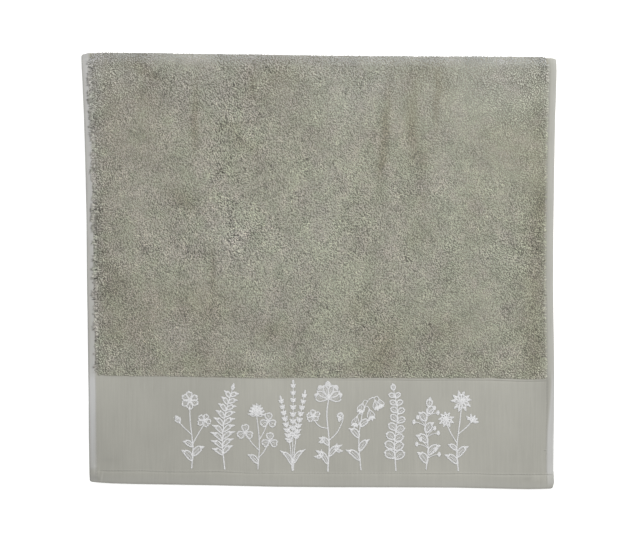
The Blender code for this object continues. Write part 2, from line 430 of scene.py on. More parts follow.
def relief(edge, depth, x):
    """Fine shape of the front layer's upper face: the stitching's grooves, the first rib under the pile, puckers and slow waves in the border."""
    border, hem = end("border_depth", x), end("hem_depth", x)
    off_side = ramp(SIDE_HEM - 1.5, SIDE_HEM + 2, edge)
    in_border = ramp(hem - 1, hem + 6, depth) * (1 - ramp(border - 6, border, depth)) * off_side
    # The line runs out over the right side hem and stops short of the left one
    reach_in = np.where(x < 0, ramp(10, 15, edge), ramp(0.8, 2.5, edge))
    mm = -table(STITCH_LINE, "x", "groove", x) * np.exp(-(((depth - hem + 1.2) / 0.6) ** 2)) * reach_in
    mm = mm + table(STITCH_LINE, "x", "ridge", x) * np.exp(-(((depth - hem - 0.2) / 0.65) ** 2)) * np.where(x < 0, off_side, reach_in)
    # The side hem's seam, on the right pressed in only near the pile
    seam = np.where(x < 0, 0.12, 0.03 + 0.2 * ramp(hem + 40, border - 4, depth))
    mm = mm - seam * np.exp(-(((edge - SIDE_HEM + 0.5) / 0.8) ** 2)) * ramp(hem - 2, hem + 4, depth)
    # The side hem is a round roll, which the end hem's corner lies flat over
    roll = np.clip(1 - ((edge - 3.6) / 4.6) ** 2, 0, 1)
    mm = mm + 0.55 * roll * (0.3 + 0.7 * ramp(hem - 2, hem + 8, depth))
    # The folded corner's crease under the end hem
    mm = mm - 0.35 * np.exp(-(((edge - 13.3 - 0.12 * depth) / 0.7) ** 2)) * (1 - ramp(hem - 1, hem + 3, depth)) * ramp(0.5, 3, depth)
    rib = 0.1 + 0.9 * ramp(-60, 120, x) + 0.2 * soft_noise(5, x, 0 * x, 30)
    mm = mm + 0.34 * rib * np.exp(-(((border - 1.5 - depth) / 0.55) ** 2)) * off_side
    mm = mm - 0.34 * rib * np.exp(-(((border - 2.6 - depth) / 0.6) ** 2)) * off_side
    for p in PUCKERS:
        reach = np.where(depth > hem, np.exp(-(((depth - hem) / p.up) ** 2)), np.exp(-(((depth - hem) / p.down) ** 2)))
        mm = mm + p.rise * bump(x, p.x, p.half * 1.6) * reach * ramp(0.5, 3, depth)
    mm = mm + 0.35 * in_border * soft_noise(11, x, depth * 0.6, 34)
    mm = mm + 0.12 * in_border * soft_noise(12, x, depth * 0.35, 9)
    mm = mm + 0.1 * soft_noise(13, x, depth, 11) * (1 - ramp(hem - 3, hem, depth)) * ramp(0.5, 3, depth)
    return mm


# ---------------------------------------------------------------- the cloth's grid

NEAR = [0, 0.25, 0.6, 1.1, 1.8, 2.8, 3.9, 5.0, 5.9, 6.6, 7.2, 7.7, 8.2, 8.8, 9.6, 10.6, 11.4, 12.0, 12.6, 13.2, 14.0, 15.4, 18.0]
MIDDLES = 116


def column_list():
    inner = NEAR[-1]
    left = [(0, mm) for mm in NEAR]
    right = [(1, mm) for mm in reversed(NEAR)]
    return left + [(2, k / MIDDLES) for k in range(1, MIDDLES)] + right, inner


COLUMNS, INNER = column_list()
KIND = np.array([kind for kind, _ in COLUMNS])[:, None]
REACH = np.array([mm for _, mm in COLUMNS])[:, None]


def placed(share):
    """X and the distance in from the nearer side, for each column at these shares of the length."""
    left, right = side("left", share), side("right", share)
    across = left + INNER + (right - left - 2 * INNER) * REACH
    x = np.where(KIND == 0, left + REACH, np.where(KIND == 1, right - REACH, across))
    return x, np.minimum(x - left, right - x)


def rounded(x, y, edge, depth):
    """Places moved in so that the cloth's outer corners are round."""
    radius = np.where(x < 0, ROUND_LEFT, ROUND_RIGHT)
    u, v = np.clip(radius - edge, 0, None), np.clip(radius - depth, 0, None)
    u, v = np.where(v > 0, u, 0), np.where(u > 0, v, 0)
    in_x = u - u * np.sqrt(1 - v**2 / (2 * radius**2))
    in_y = v - v * np.sqrt(1 - u**2 / (2 * radius**2))
    return x + np.where(x < 0, in_x, -in_x), y + in_y


def build_grid():
    """Arrays over (column, row) of the cloth's outer and inner faces and the path from the front end hem over the fold to the back end hem."""
    nominal = placed(np.full((len(COLUMNS), 1), 0.5))[0]
    hem_y, crest_y = end("hem", nominal), end("fold", nominal)
    hem, border = end("hem_depth", nominal), end("border_depth", nominal)
    length = crest_y - FOLD_DEPTH - hem_y

    def spread(low, high, count, ends=False):
        steps = np.linspace(0, 1, count + 1)[0 if ends else 1 :]
        return low + (high - low) * steps[None, :]

    ones = np.ones_like(hem)
    front = np.concatenate(
        [
            ones * np.array([[0, 0.25, 0.6, 1.1, 1.9, 3.2, 5.0, 7.0]]),
            hem + np.array([[-4.6, -3.0, -2.1, -1.4, -0.9, -0.5, -0.2, 0.1, 0.45, 0.9, 1.5, 2.3, 3.6]]),
            spread(hem + 3.6, border - 6.5, 24),
            border + np.array([[-4.8, -3.8, -3.2, -2.7, -2.2, -1.8, -1.4, -1.0, -0.5, 0.1, 0.8, 2.0]]),
            spread(border + 2.0, length, 46),
        ],
        1,
    )
    back_length = length - BACK_SHORTER
    back = np.concatenate(
        [
            ones * np.array([[0, 0.25, 0.6, 1.1, 1.9, 3.4, 6.5]]),
            hem + np.array([[-3.6, -2.2, -1.2, -0.4, 0.6, 2.5]]),
            spread(hem + 2.5, border - 4, 9),
            border + np.array([[-1.4, -0.6, 0.1, 0.9]]),
            spread(border + 0.9, back_length, 17),
        ],
        1,
    )[:, ::-1]

    total = length + FOLD_DEPTH
    share = front / total
    x, edge = placed(share)
    fx, fy = rounded(x, hem_y + front, edge, front)
    nom = nominal + 0 * front
    fz = front_middle(edge, front, share, nom)
    fhalf = sheet_thickness(edge, front, nom) / 2
    fine = relief(edge, front, nom)

    back_share = (back + BACK_SHORTER) / total
    x, back_edge = placed(back_share)
    bx = x + BACK_SHIFT * (1 - ramp(0.75, 1.0, back_share))
    bx, by = rounded(bx, hem_y + BACK_SHORTER + back, back_edge, back)
    bnom = nominal + 0 * back
    bz = solid_thickness(back_edge, back, bnom) / 2
    bhalf = sheet_thickness(back_edge, back, bnom) / 2
    bz = np.maximum(bz, bhalf)

    turn = math.pi * (0.5 - np.arange(1, FOLD_STEPS) / FOLD_STEPS)[None, :]
    mid_z = (fz[:, -1:] + bz[:, :1]) / 2
    half_z = (fz[:, -1:] - bz[:, :1]) / 2
    deep = FOLD_DEPTH - TERRY / 2 + FOLD_FULL
    x, fold_edge = placed((length + FOLD_DEPTH * np.cos(turn)) / total)
    gy = fy[:, -1:] + deep * np.cos(turn)
    gz = mid_z + half_z * np.sin(turn)
    ghalf = fhalf[:, -1:] + 0 * gz
    ny, nz = np.cos(turn) / deep, np.sin(turn) / half_z
    size = np.hypot(ny, nz)

    xs = np.concatenate([fx, x, bx], 1)
    ys = np.concatenate([fy, gy, by], 1)
    zs = np.concatenate([fz, gz, bz], 1)
    half = np.concatenate([fhalf, ghalf, bhalf], 1)
    ny = np.concatenate([0 * fz, ny / size, 0 * bz], 1)
    nz = np.concatenate([0 * fz + 1, nz / size, 0 * bz - 1], 1)
    extra = np.concatenate([fine, 0 * gz, 0 * bz], 1)
    edges = np.concatenate([edge, fold_edge, back_edge], 1)
    depths = np.concatenate([front, length + 0 * gz, back], 1)
    outer = np.stack([xs, ys + ny * half, zs + nz * (half + extra)], 2)
    inner = np.stack([xs, ys - ny * half, zs - nz * half], 2)
    middle = np.stack([xs, ys, zs], 2)
    path = np.zeros(xs.shape)
    path[:, 1:] = np.cumsum(np.linalg.norm(np.diff(middle[:, :, 1:], axis=1), axis=2), 1)
    marks = [front.shape[1], front.shape[1] + gz.shape[1]]
    return outer, inner, path, nominal[:, 0], edges, depths, marks, length[:, 0]


OUTER, INNER_FACE, PATH, NOMINAL, EDGES, DEPTHS, MARKS, LENGTH = build_grid()
# The solid is centred on its box, so the cloth takes the same shift
shift = np.array(
    [
        cad_box[0][0] / MM - OUTER[:, :, 0].min(),
        cad_box[0][1] / MM - OUTER[:, :, 1].min(),
        0.0,
    ]
)
shift[0] = (cad_box[0][0] + cad_box[1][0]) / 2 / MM - (OUTER[:, :, 0].min() + OUTER[:, :, 0].max()) / 2
OUTER, INNER_FACE = OUTER + shift, INNER_FACE + shift


class Face:
    """A face of the cloth, read anywhere by its place across and its distance along the path from the front end hem."""

    def __init__(self, points, outward):
        self.points = points
        across = np.gradient(points, NOMINAL, axis=0)
        along = np.gradient(points, axis=1)
        self.across = across / np.maximum(np.linalg.norm(across, axis=2, keepdims=True), 1e-9)
        self.along = along / np.maximum(np.linalg.norm(along, axis=2, keepdims=True), 1e-9)
        normal = outward * np.cross(self.across, self.along)
        self.normal = normal / np.maximum(np.linalg.norm(normal, axis=2, keepdims=True), 1e-9)

    def at(self, x, s):
        column = np.interp(x, NOMINAL, np.arange(len(NOMINAL)))
        i = np.clip(column.astype(int), 0, len(NOMINAL) - 2)
        f = column - i
        paths = PATH[i] * (1 - f)[:, None] + PATH[i + 1] * f[:, None]
        s = np.clip(s, 0, paths[:, -1])
        j = np.clip((paths <= s[:, None]).sum(1) - 1, 0, PATH.shape[1] - 2)
        k = np.arange(len(j))
        g = (s - paths[k, j]) / np.maximum(paths[k, j + 1] - paths[k, j], 1e-9)

        def read(a):
            f_, g_ = (f, g) if a.ndim == 2 else (f[:, None], g[:, None])
            low = a[i, j] * (1 - f_) + a[i + 1, j] * f_
            high = a[i, j + 1] * (1 - f_) + a[i + 1, j + 1] * f_
            return low * (1 - g_) + high * g_

        def unit(v):
            return v / np.maximum(np.linalg.norm(v, axis=1, keepdims=True), 1e-9)

        return (
            read(self.points),
            unit(read(self.across)),
            unit(read(self.along)),
            unit(read(self.normal)),
            read(EDGES),
        )


outer_face = Face(OUTER, 1.0)
inner_face = Face(INNER_FACE, -1.0)

# ---------------------------------------------------------------- meshes from arrays


def make_mesh(name, verts, corners, counts, uv=None, values=None, smooth=True):
    """A mesh object from arrays: vertices in mm, each face's corners in one run, and each face's number of corners."""
    mesh = bpy.data.meshes.new(name)
    mesh.vertices.add(len(verts))
    mesh.vertices.foreach_set("co", (verts * MM).astype(np.float32).ravel())
    mesh.loops.add(len(corners))
    mesh.loops.foreach_set("vertex_index", corners.astype(np.int32))
    mesh.polygons.add(len(counts))
    starts = np.concatenate([[0], np.cumsum(counts)[:-1]]).astype(np.int32)
    mesh.polygons.foreach_set("loop_start", starts)
    mesh.update(calc_edges=True)
    if smooth:
        mesh.polygons.foreach_set("use_smooth", np.ones(len(counts), bool))
    if uv is not None:
        layer = mesh.uv_layers.new(name="OFBake")
        layer.uv.foreach_set("vector", uv.astype(np.float32).ravel())
    for key, value in (values or {}).items():
        mesh.attributes.new(key, "FLOAT", "POINT").data.foreach_set("value", value.astype(np.float32))
    mesh.validate()
    obj = bpy.data.objects.new(name, mesh)
    bpy.context.scene.collection.objects.link(obj)
    return obj


def strands(name, points, radii, up, material, tone=None, fold_light=None, nap_shading=None, flat=1.0, floor=None, sides=3):
    """Many short closed tubes as one mesh. points is (count, n, 3): the first and last are the tips, the others each carry a ring of the given radius."""
    count, n, _ = points.shape
    rings = n - 2
    ahead = points[:, 2:] - points[:, :-2]
    ahead /= np.maximum(np.linalg.norm(ahead, axis=2, keepdims=True), 1e-9)
    across = np.cross(ahead, up[:, None, :])
    across /= np.maximum(np.linalg.norm(across, axis=2, keepdims=True), 1e-9)
    rise = np.cross(across, ahead)
    turn = -math.pi / 2 + 2 * math.pi * np.arange(sides) / sides
    ring = (
        points[:, 1:-1, None, :]
        + radii[:, :, None, None] * np.cos(turn)[None, None, :, None] * across[:, :, None, :]
        + radii[:, :, None, None] * flat * np.sin(turn)[None, None, :, None] * rise[:, :, None, :]
    )
    per = rings * sides + 2
    verts = np.concatenate([points[:, :1], ring.reshape(count, -1, 3), points[:, -1:]], 1)
    if floor is not None:
        verts[:, :, 2] = np.maximum(verts[:, :, 2], floor)
    faces, cells = [], []
    for k in range(sides):
        after = (k + 1) % sides
        faces.append((0, 1 + k, 1 + after))
        cells.append(((0, k + 0.5), (1, k), (1, k + 1)))
        for i in range(rings - 1):
            a, b = 1 + i * sides, 1 + (i + 1) * sides
            faces.append((a + k, b + k, b + after, a + after))
            cells.append(((i + 1, k), (i + 2, k), (i + 2, k + 1), (i + 1, k + 1)))
        a = 1 + (rings - 1) * sides
        faces.append((a + k, per - 1, a + after))
        cells.append(((rings, k), (rings + 1, k + 0.5), (rings, k + 1)))
    corners = np.concatenate([np.array(f) for f in faces])
    counts = np.tile([len(f) for f in faces], count)
    all_corners = (corners[None, :] + per * np.arange(count)[:, None]).ravel()
    cell = np.concatenate([np.array(c, float) for c in cells]) / (rings + 1, sides)
    wide = int(math.ceil(math.sqrt(count)))
    origin = np.stack([np.arange(count) % wide, np.arange(count) // wide], 1)
    uv = (origin[:, None, :] + 0.1 + 0.8 * cell[None, :, :]) / wide
    values = {}
    if tone is not None:
        values["tone"] = np.repeat(tone, per)
    if fold_light is not None:
        values["fold_light"] = np.repeat(fold_light, per)
    if nap_shading is not None:
        values["nap_shading"] = np.repeat(nap_shading, per)
    # root is 0 at the tips, where the materials paint shade
    root = np.ones((count, n))
    root[:, 0] = root[:, -1] = 0
    values["root"] = np.concatenate(
        [root[:, :1], np.repeat(root[:, 1:-1], sides, 1), root[:, -1:]], 1
    ).ravel()
    obj = make_mesh(name, verts.reshape(-1, 3), all_corners, counts, uv.reshape(-1, 2), values)
    obj.data.materials.append(material)
    return obj


# ---------------------------------------------------------------- materials


class Nodes:
    """A material's nodes, made and joined in short lines."""

    def __init__(self, name):
        self.material = bpy.data.materials.new(name)
        self.material.use_nodes = True
        self.tree = self.material.node_tree
        self.shader = self.tree.nodes["Principled BSDF"]

    def new(self, kind, **settings):
        node = self.tree.nodes.new(kind)
        for key, value in settings.items():
            setattr(node, key, value)
        return node

    def put(self, socket, value):
        if hasattr(value, "node"):
            self.tree.links.new(value, socket)
        else:
            socket.default_value = value

    def math(self, operation, a, b=0.0, c=0.0, clamp=False):
        node = self.new("ShaderNodeMath", operation=operation, use_clamp=clamp)
        for socket, value in zip(node.inputs, (a, b, c)):
            self.put(socket, value)
        return node.outputs[0]

    def scaled(self, scale, offset=(0, 0, 0), turn=0.0):
        """Object coordinates turned about Z by this many degrees and then scaled."""
        vector = self.new("ShaderNodeTexCoord").outputs["Object"]
        if turn:
            turned = self.new("ShaderNodeMapping")
            turned.inputs["Rotation"].default_value = (0, 0, math.radians(turn))
            self.tree.links.new(vector, turned.inputs["Vector"])
            vector = turned.outputs[0]
        mapping = self.new("ShaderNodeMapping")
        mapping.inputs["Scale"].default_value = scale
        mapping.inputs["Location"].default_value = offset
        self.tree.links.new(vector, mapping.inputs["Vector"])
        return mapping.outputs[0]

    def across(self):
        """X in metres."""
        coords = self.new("ShaderNodeTexCoord")
        split = self.new("ShaderNodeSeparateXYZ")
        self.tree.links.new(coords.outputs["Object"], split.inputs[0])
        return split.outputs[0]

    def noise(self, scale, detail=2.0, roughness=0.5, offset=(0, 0, 0), turn=0.0):
        node = self.new("ShaderNodeTexNoise")
        node.inputs["Scale"].default_value = 1.0
        node.inputs["Detail"].default_value = detail
        node.inputs["Roughness"].default_value = roughness
        self.tree.links.new(self.scaled(scale, offset, turn), node.inputs["Vector"])
        return node.outputs["Fac"]

    def span(self, value, low, high, to_low, to_high):
        node = self.new("ShaderNodeMapRange")
        for key, v in (("Value", value), ("From Min", low), ("From Max", high), ("To Min", to_low), ("To Max", to_high)):
            self.put(node.inputs[key], v)
        return node.outputs[0]

    def mix(self, factor, a, b, blend="MIX"):
        node = self.new("ShaderNodeMix", data_type="RGBA", blend_type=blend, clamp_result=False)
        self.put(node.inputs["Factor"], factor)
        self.put(node.inputs[6], a)
        self.put(node.inputs[7], b)
        return node.outputs[2]

    def mottle(self, scale, spread):
        """Lighter and darker patches of every size alike, as a number about 1."""
        fac = self.noise(scale, detail=5.0, roughness=1.0)
        return self.span(fac, 0.0, 1.0, 1 - spread, 1 + spread)

    def times(self, colour, value):
        """A colour made darker or lighter by a number."""
        node = self.new("ShaderNodeVectorMath", operation="SCALE")
        self.put(node.inputs[0], colour[:3] if isinstance(colour, tuple) else colour)
        self.put(node.inputs["Scale"], value)
        return node.outputs[0]

    def attribute(self, name):
        return self.new("ShaderNodeAttribute", attribute_name=name).outputs["Fac"]

    def bump(self, height, distance, strength=1.0):
        node = self.new("ShaderNodeBump")
        node.inputs["Strength"].default_value = strength
        node.inputs["Distance"].default_value = distance
        self.put(node.inputs["Height"], height)
        self.put(self.shader.inputs["Normal"], node.outputs[0])

    def finish(self, colour, roughness, specular=0.3, sheen=0.0, sheen_roughness=0.5):
        self.put(self.shader.inputs["Base Color"], colour)
        self.shader.inputs["Roughness"].default_value = roughness
        self.shader.inputs["Specular IOR Level"].default_value = specular
        self.shader.inputs["Sheen Weight"].default_value = sheen
        self.shader.inputs["Sheen Roughness"].default_value = sheen_roughness
        return self.material


def rgb(r, g, b):
    return (r, g, b, 1.0)


def napped(m, colour):
    """A pile colour with painted light and shade: greyer and lighter where the pile stands, browner and darker where it
    lies down, and mottled.
    """
    nap_shading = m.attribute("nap_shading")
    pale = m.mix(1.0, colour, rgb(0.99, 1.012, 1.08), blend="MULTIPLY")
    brown = m.mix(1.0, colour, rgb(1.03, 0.985, 0.915), blend="MULTIPLY")
    colour = m.mix(m.math("MULTIPLY", nap_shading, 0.3, clamp=True), colour, pale)
    # Less of the painted brown shade towards the side edges, where the pile is thinner and greyer
    inward = m.math("MULTIPLY", m.span(m.across(), -0.232, -0.206, 0.1, 1.0), m.span(m.across(), 0.20, 0.225, 1.0, 0.7))
    colour = m.mix(m.math("MULTIPLY", m.math("MULTIPLY", nap_shading, -0.5, clamp=True), inward), colour, brown)
    # Painted light and shade: the pile lighter where it stands and darker where it lies down
    tone = m.math("MULTIPLY_ADD", nap_shading, NAP_LIGHT_AND_SHADE, 1.0)
    return m.times(colour, m.math("MULTIPLY", tone, m.mottle((38, 30, 34), 0.6)))


def pile_material():
    m = Nodes("pile_cotton")
    # Browner towards the left and greener towards the right, in patches
    warm, cool = rgb(0.590, 0.563, 0.488), rgb(0.562, 0.575, 0.459)
    patch = m.math("ADD", m.noise((62, 62, 62), detail=3.0), m.span(m.across(), -0.25, 0.25, -0.055, 0.095))
    colour = m.mix(m.span(patch, 0.36, 0.64, 0.0, 1.0), warm, cool)
    # Painted light: paler and greyer towards the fold
    colour = m.mix(m.attribute("fold_light"), colour, rgb(0.546, 0.545, 0.543))
    # Painted shade: the loops darker towards their roots, where they go into the cloth
    tone = m.math("MULTIPLY", m.attribute("tone"), m.span(m.attribute("root"), 0.0, 1.0, 0.7, 1.0))
    colour = m.times(napped(m, colour), tone)
    rim = m.math("MAXIMUM", m.span(m.across(), -0.236, -0.226, 0.75, 0.0), m.span(m.across(), 0.229, 0.239, 0.0, 0.3))
    colour = m.mix(rim, colour, m.mix(1.0, colour, rgb(1.0, 1.005, 1.08), blend="MULTIPLY"))
    fibre = m.noise((1400, 1400, 1400), detail=2.0)
    # Lighter and darker streaks aslant, partly tufts of pile and partly painted light and shade as the light falls
    # across the slanted loops; more even towards the fold
    tuft = m.noise((1250, 480, 700), detail=1.0, turn=-34)
    streak_shading = m.math("MULTIPLY", m.span(tuft, 0.3, 0.7, -0.195, 0.225), m.span(m.attribute("fold_light"), 0.0, 0.75, 1.0, 0.35))
    colour = m.times(colour, m.math("ADD", streak_shading, 1.0))
    m.bump(fibre, 0.0002, 0.5)
    return m.finish(colour, 0.95, 0.1)


def cloth_material():
    m = Nodes("woven_cotton")
    flat = rgb(0.332, 0.327, 0.292)
    edge = rgb(0.43, 0.43, 0.418)
    # The ground weave under the pile, painted darker where the pile is tousled: painted shade in the gaps between loops
    ground = m.mix(m.span(m.attribute("tousle"), 0.4, 1.6, 0.0, 1.0), rgb(0.386, 0.375, 0.315), rgb(0.125, 0.121, 0.101))
    streak = m.noise((640, 22, 22), detail=2.5, roughness=0.6)
    streak = m.span(streak, 0.3, 0.7, 0.965, 1.035)
    # Short thicker and thinner lengths of yarn
    slub = m.noise((900, 52, 52), offset=(3.1, 0, 0))
    slub = m.math("ADD", m.span(slub, 0.64, 0.80, 0.0, 0.07), m.span(slub, 0.20, 0.36, -0.07, 0.0))
    cloud = m.span(m.noise((28, 24, 24), detail=3.0), 0.3, 0.7, 0.972, 1.028)
    # Paler on the hems: the cloth's paler back and painted light on their rolls
    colour = m.mix(m.attribute("hem"), flat, edge)
    colour = m.times(colour, m.math("MULTIPLY", m.math("ADD", streak, slub), cloud))
    # Painted light and shade along the border, on creases and along the left rim
    colour = m.times(colour, m.attribute("shade"))
    tint = m.mix(m.span(m.attribute("warmth"), -1.0, 1.0, 0.0, 1.0), rgb(0.997, 1.0, 1.036), rgb(1.001, 1.0, 0.966))
    colour = m.mix(1.0, colour, tint, blend="MULTIPLY")
    ground = napped(m, ground)
    colour = m.mix(m.attribute("ground"), colour, ground)
    ribs = m.noise((1150, 60, 60), detail=1.5)
    picks = m.noise((300, 1500, 300), detail=1.0)
    m.bump(m.math("ADD", m.math("MULTIPLY", ribs, 1.0), m.math("MULTIPLY", picks, 0.4)), 0.0002, 0.6)
    return m.finish(colour, 0.85, 0.15, 0.03, 0.5)


def thread_material():
    m = Nodes("sewing_thread")
    fibre = m.noise((1600, 1600, 1600), detail=1.0)
    colour = m.times(rgb(0.40, 0.395, 0.365), m.math("MULTIPLY", m.attribute("tone"), m.span(fibre, 0.3, 0.7, 0.94, 1.06)))
    return m.finish(colour, 0.7, 0.3)


def floss_material():
    m = Nodes("white_floss")
    fibre = m.noise((1300, 1300, 1300), detail=1.0)
    # Painted shade: the stitches darker towards their ends, where they go into the cloth
    shade = m.math("MULTIPLY", m.attribute("tone"), m.span(m.attribute("root"), 0.0, 1.0, 0.85, 1.0))
    shade = m.math("MULTIPLY", shade, m.span(fibre, 0.3, 0.7, 0.96, 1.04))
    colour = m.times(rgb(0.775, 0.775, 0.775), shade)
    return m.finish(colour, 0.5, 0.4, 0.05)


PILE, CLOTH, THREAD, FLOSS = pile_material(), cloth_material(), thread_material(), floss_material()

def nap_at(x, y):
    """How the pile lies at a place: below 0 parted and painted darker, above 0 standing and painted lighter, as painted
    shade and light, and the way it leans there.
    """
    value, lean_x, lean_y = np.zeros(x.shape), np.zeros(x.shape), np.zeros(x.shape)
    for n in NAPS:
        a = math.radians(n.turn)
        along = (x - n.x) * math.cos(a) + (y - n.y) * math.sin(a)
        off = -(x - n.x) * math.sin(a) + (y - n.y) * math.cos(a)
        off = off + 0.5 * min(n.half_wide, 10) * soft_noise(31, along, off * 0 + n.x, 14)
        near = np.exp(-((along / n.half_long) ** 2) * 1.2 - (off / n.half_wide) ** 2)
        value += n.strength * near
        if n.strength < 0 and n.half_wide < 10:
            push = near * np.tanh(off / n.half_wide)
            lean_x += -math.sin(a) * push
            lean_y += math.cos(a) * push
    return value, lean_x, lean_y


def tousle_at(x, y):
    """How tousled the pile is at a place: about 1, and less where it lies evenly."""
    value = 1 + 0.27 * soft_noise(61, x, y, 7) + 0.12 * soft_noise(62, x, y, 22)
    for n in TOUSLES:
        a = math.radians(n.turn)
        along = (x - n.x) * math.cos(a) + (y - n.y) * math.sin(a)
        off = -(x - n.x) * math.sin(a) + (y - n.y) * math.cos(a)
        value = value + n.strength * np.exp(-((along / n.half_long) ** 2) - (off / n.half_wide) ** 2)
    return np.clip(value, 0.35, 1.7)


# ---------------------------------------------------------------- the sheet itself

# How pale the side hems are at places along them, as the cloth's paler back and as painted light on their rolls, how
# far in the right one is pale, and how dark the painted shade along the left rim is
HemTone = namedtuple("HemTone", "y left right reach rim")
HEM_TONES = [
    HemTone(-230, 0.3, 1.0, 8.0, 1.0),
    HemTone(-212, 0.45, 1.0, 8.3, 1.0),
    HemTone(-196, 0.72, 1.0, 8.3, 0.8),
    HemTone(-170, 1.0, 1.0, 8.2, 0.8),
    HemTone(-142, 1.15, 0.95, 6.0, 0.9),
    HemTone(-118, 1.25, 0.9, 4.2, 1.0),
    HemTone(-104, 0.4, 0.7, 4.8, 1.0),
    HemTone(-60, 0.12, 0.6, 4.8, 1.1),
    HemTone(42, 0.3, 0.55, 4.8, 0.5),
    HemTone(205, 0.5, 0.6, 4.8, 0.25),
]

# How much lighter or darker the border is painted than its middle tone, next to the pile and at its foot: painted light
# and shade where its gentle swells face towards or away from the light
BandLight = namedtuple("BandLight", "x top foot")
BAND_LIGHT = [
    BandLight(-236, 0.07, -0.08),
    BandLight(-222, 0.06, -0.05),
    BandLight(-195, 0.01, -0.03),
    BandLight(-168, 0.01, -0.02),
    BandLight(-140, -0.01, -0.01),
    BandLight(-113, 0.0, 0.0),
    BandLight(-86, 0.05, 0.035),
    BandLight(-58, 0.10, 0.06),
    BandLight(-31, 0.09, 0.045),
    BandLight(-3, 0.08, 0.045),
    BandLight(25, 0.08, 0.03),
    BandLight(51, 0.05, 0.045),
    BandLight(80, 0.03, 0.05),
    BandLight(106, 0.045, 0.06),
    BandLight(133, 0.06, 0.07),
    BandLight(161, 0.08, 0.055),
    BandLight(188, 0.06, 0.01),
    BandLight(216, 0.04, 0.0),
    BandLight(236, -0.03, 0.04),
]

# Small places on the flat cloth painted lighter and darker, painted light and shade mostly where it is creased
LIGHT_AND_SHADE_SPOTS = [
    Nap(247.5, -112, 16, 1.2, 90, -0.12),
    Nap(244.6, -126, 24, 1.0, 89.5, 0.08),
    Nap(-232, -212, 9, 6, 0, -0.07),
    Nap(-229, -221, 10, 4, 0, -0.02),
    Nap(-224, -226, 9, 3, 0, 0.02),
    Nap(234, -217.5, 9, 2.2, 0, 0.035),
    Nap(241, -224, 5, 3, 30, -0.03),
    Nap(155, -226, 30, 4, 0, -0.022),
    Nap(-25, -228, 34, 3, 0, -0.022),
    Nap(-160, -225, 34, 4, 0, -0.014),
    Nap(22, -222, 10, 6, 0, 0.02),
    Nap(-118, -221, 7, 2.5, -20, -0.02),
    Nap(-228.3, -216, 6, 0.9, 80, 0.14),
    Nap(-236, -205, 4, 1.2, -60, 0.06),
    Nap(-231.7, -211.5, 4.5, 1.0, 88, 0.17),
    Nap(-236.3, -210.5, 4, 1.4, 90, 0.13),
    Nap(-236, -217, 4, 1.6, -10, -0.09),
    Nap(-231.5, -218.8, 2.5, 1.2, -20, -0.09),
    Nap(-235.5, -205.8, 3, 0.7, 0, 0.07),
    Nap(-221, -199, 9, 3.5, 0, -0.06),
    Nap(240, -118, 14, 3.2, 88, -0.07),
    Nap(221, -219, 5, 1.0, -14, -0.10),
    Nap(229, -217, 6, 2.2, 10, 0.06),
    Nap(240, -219, 4.5, 3, 60, 0.05),
    Nap(243, -228.5, 6, 1.8, 35, -0.09),
]


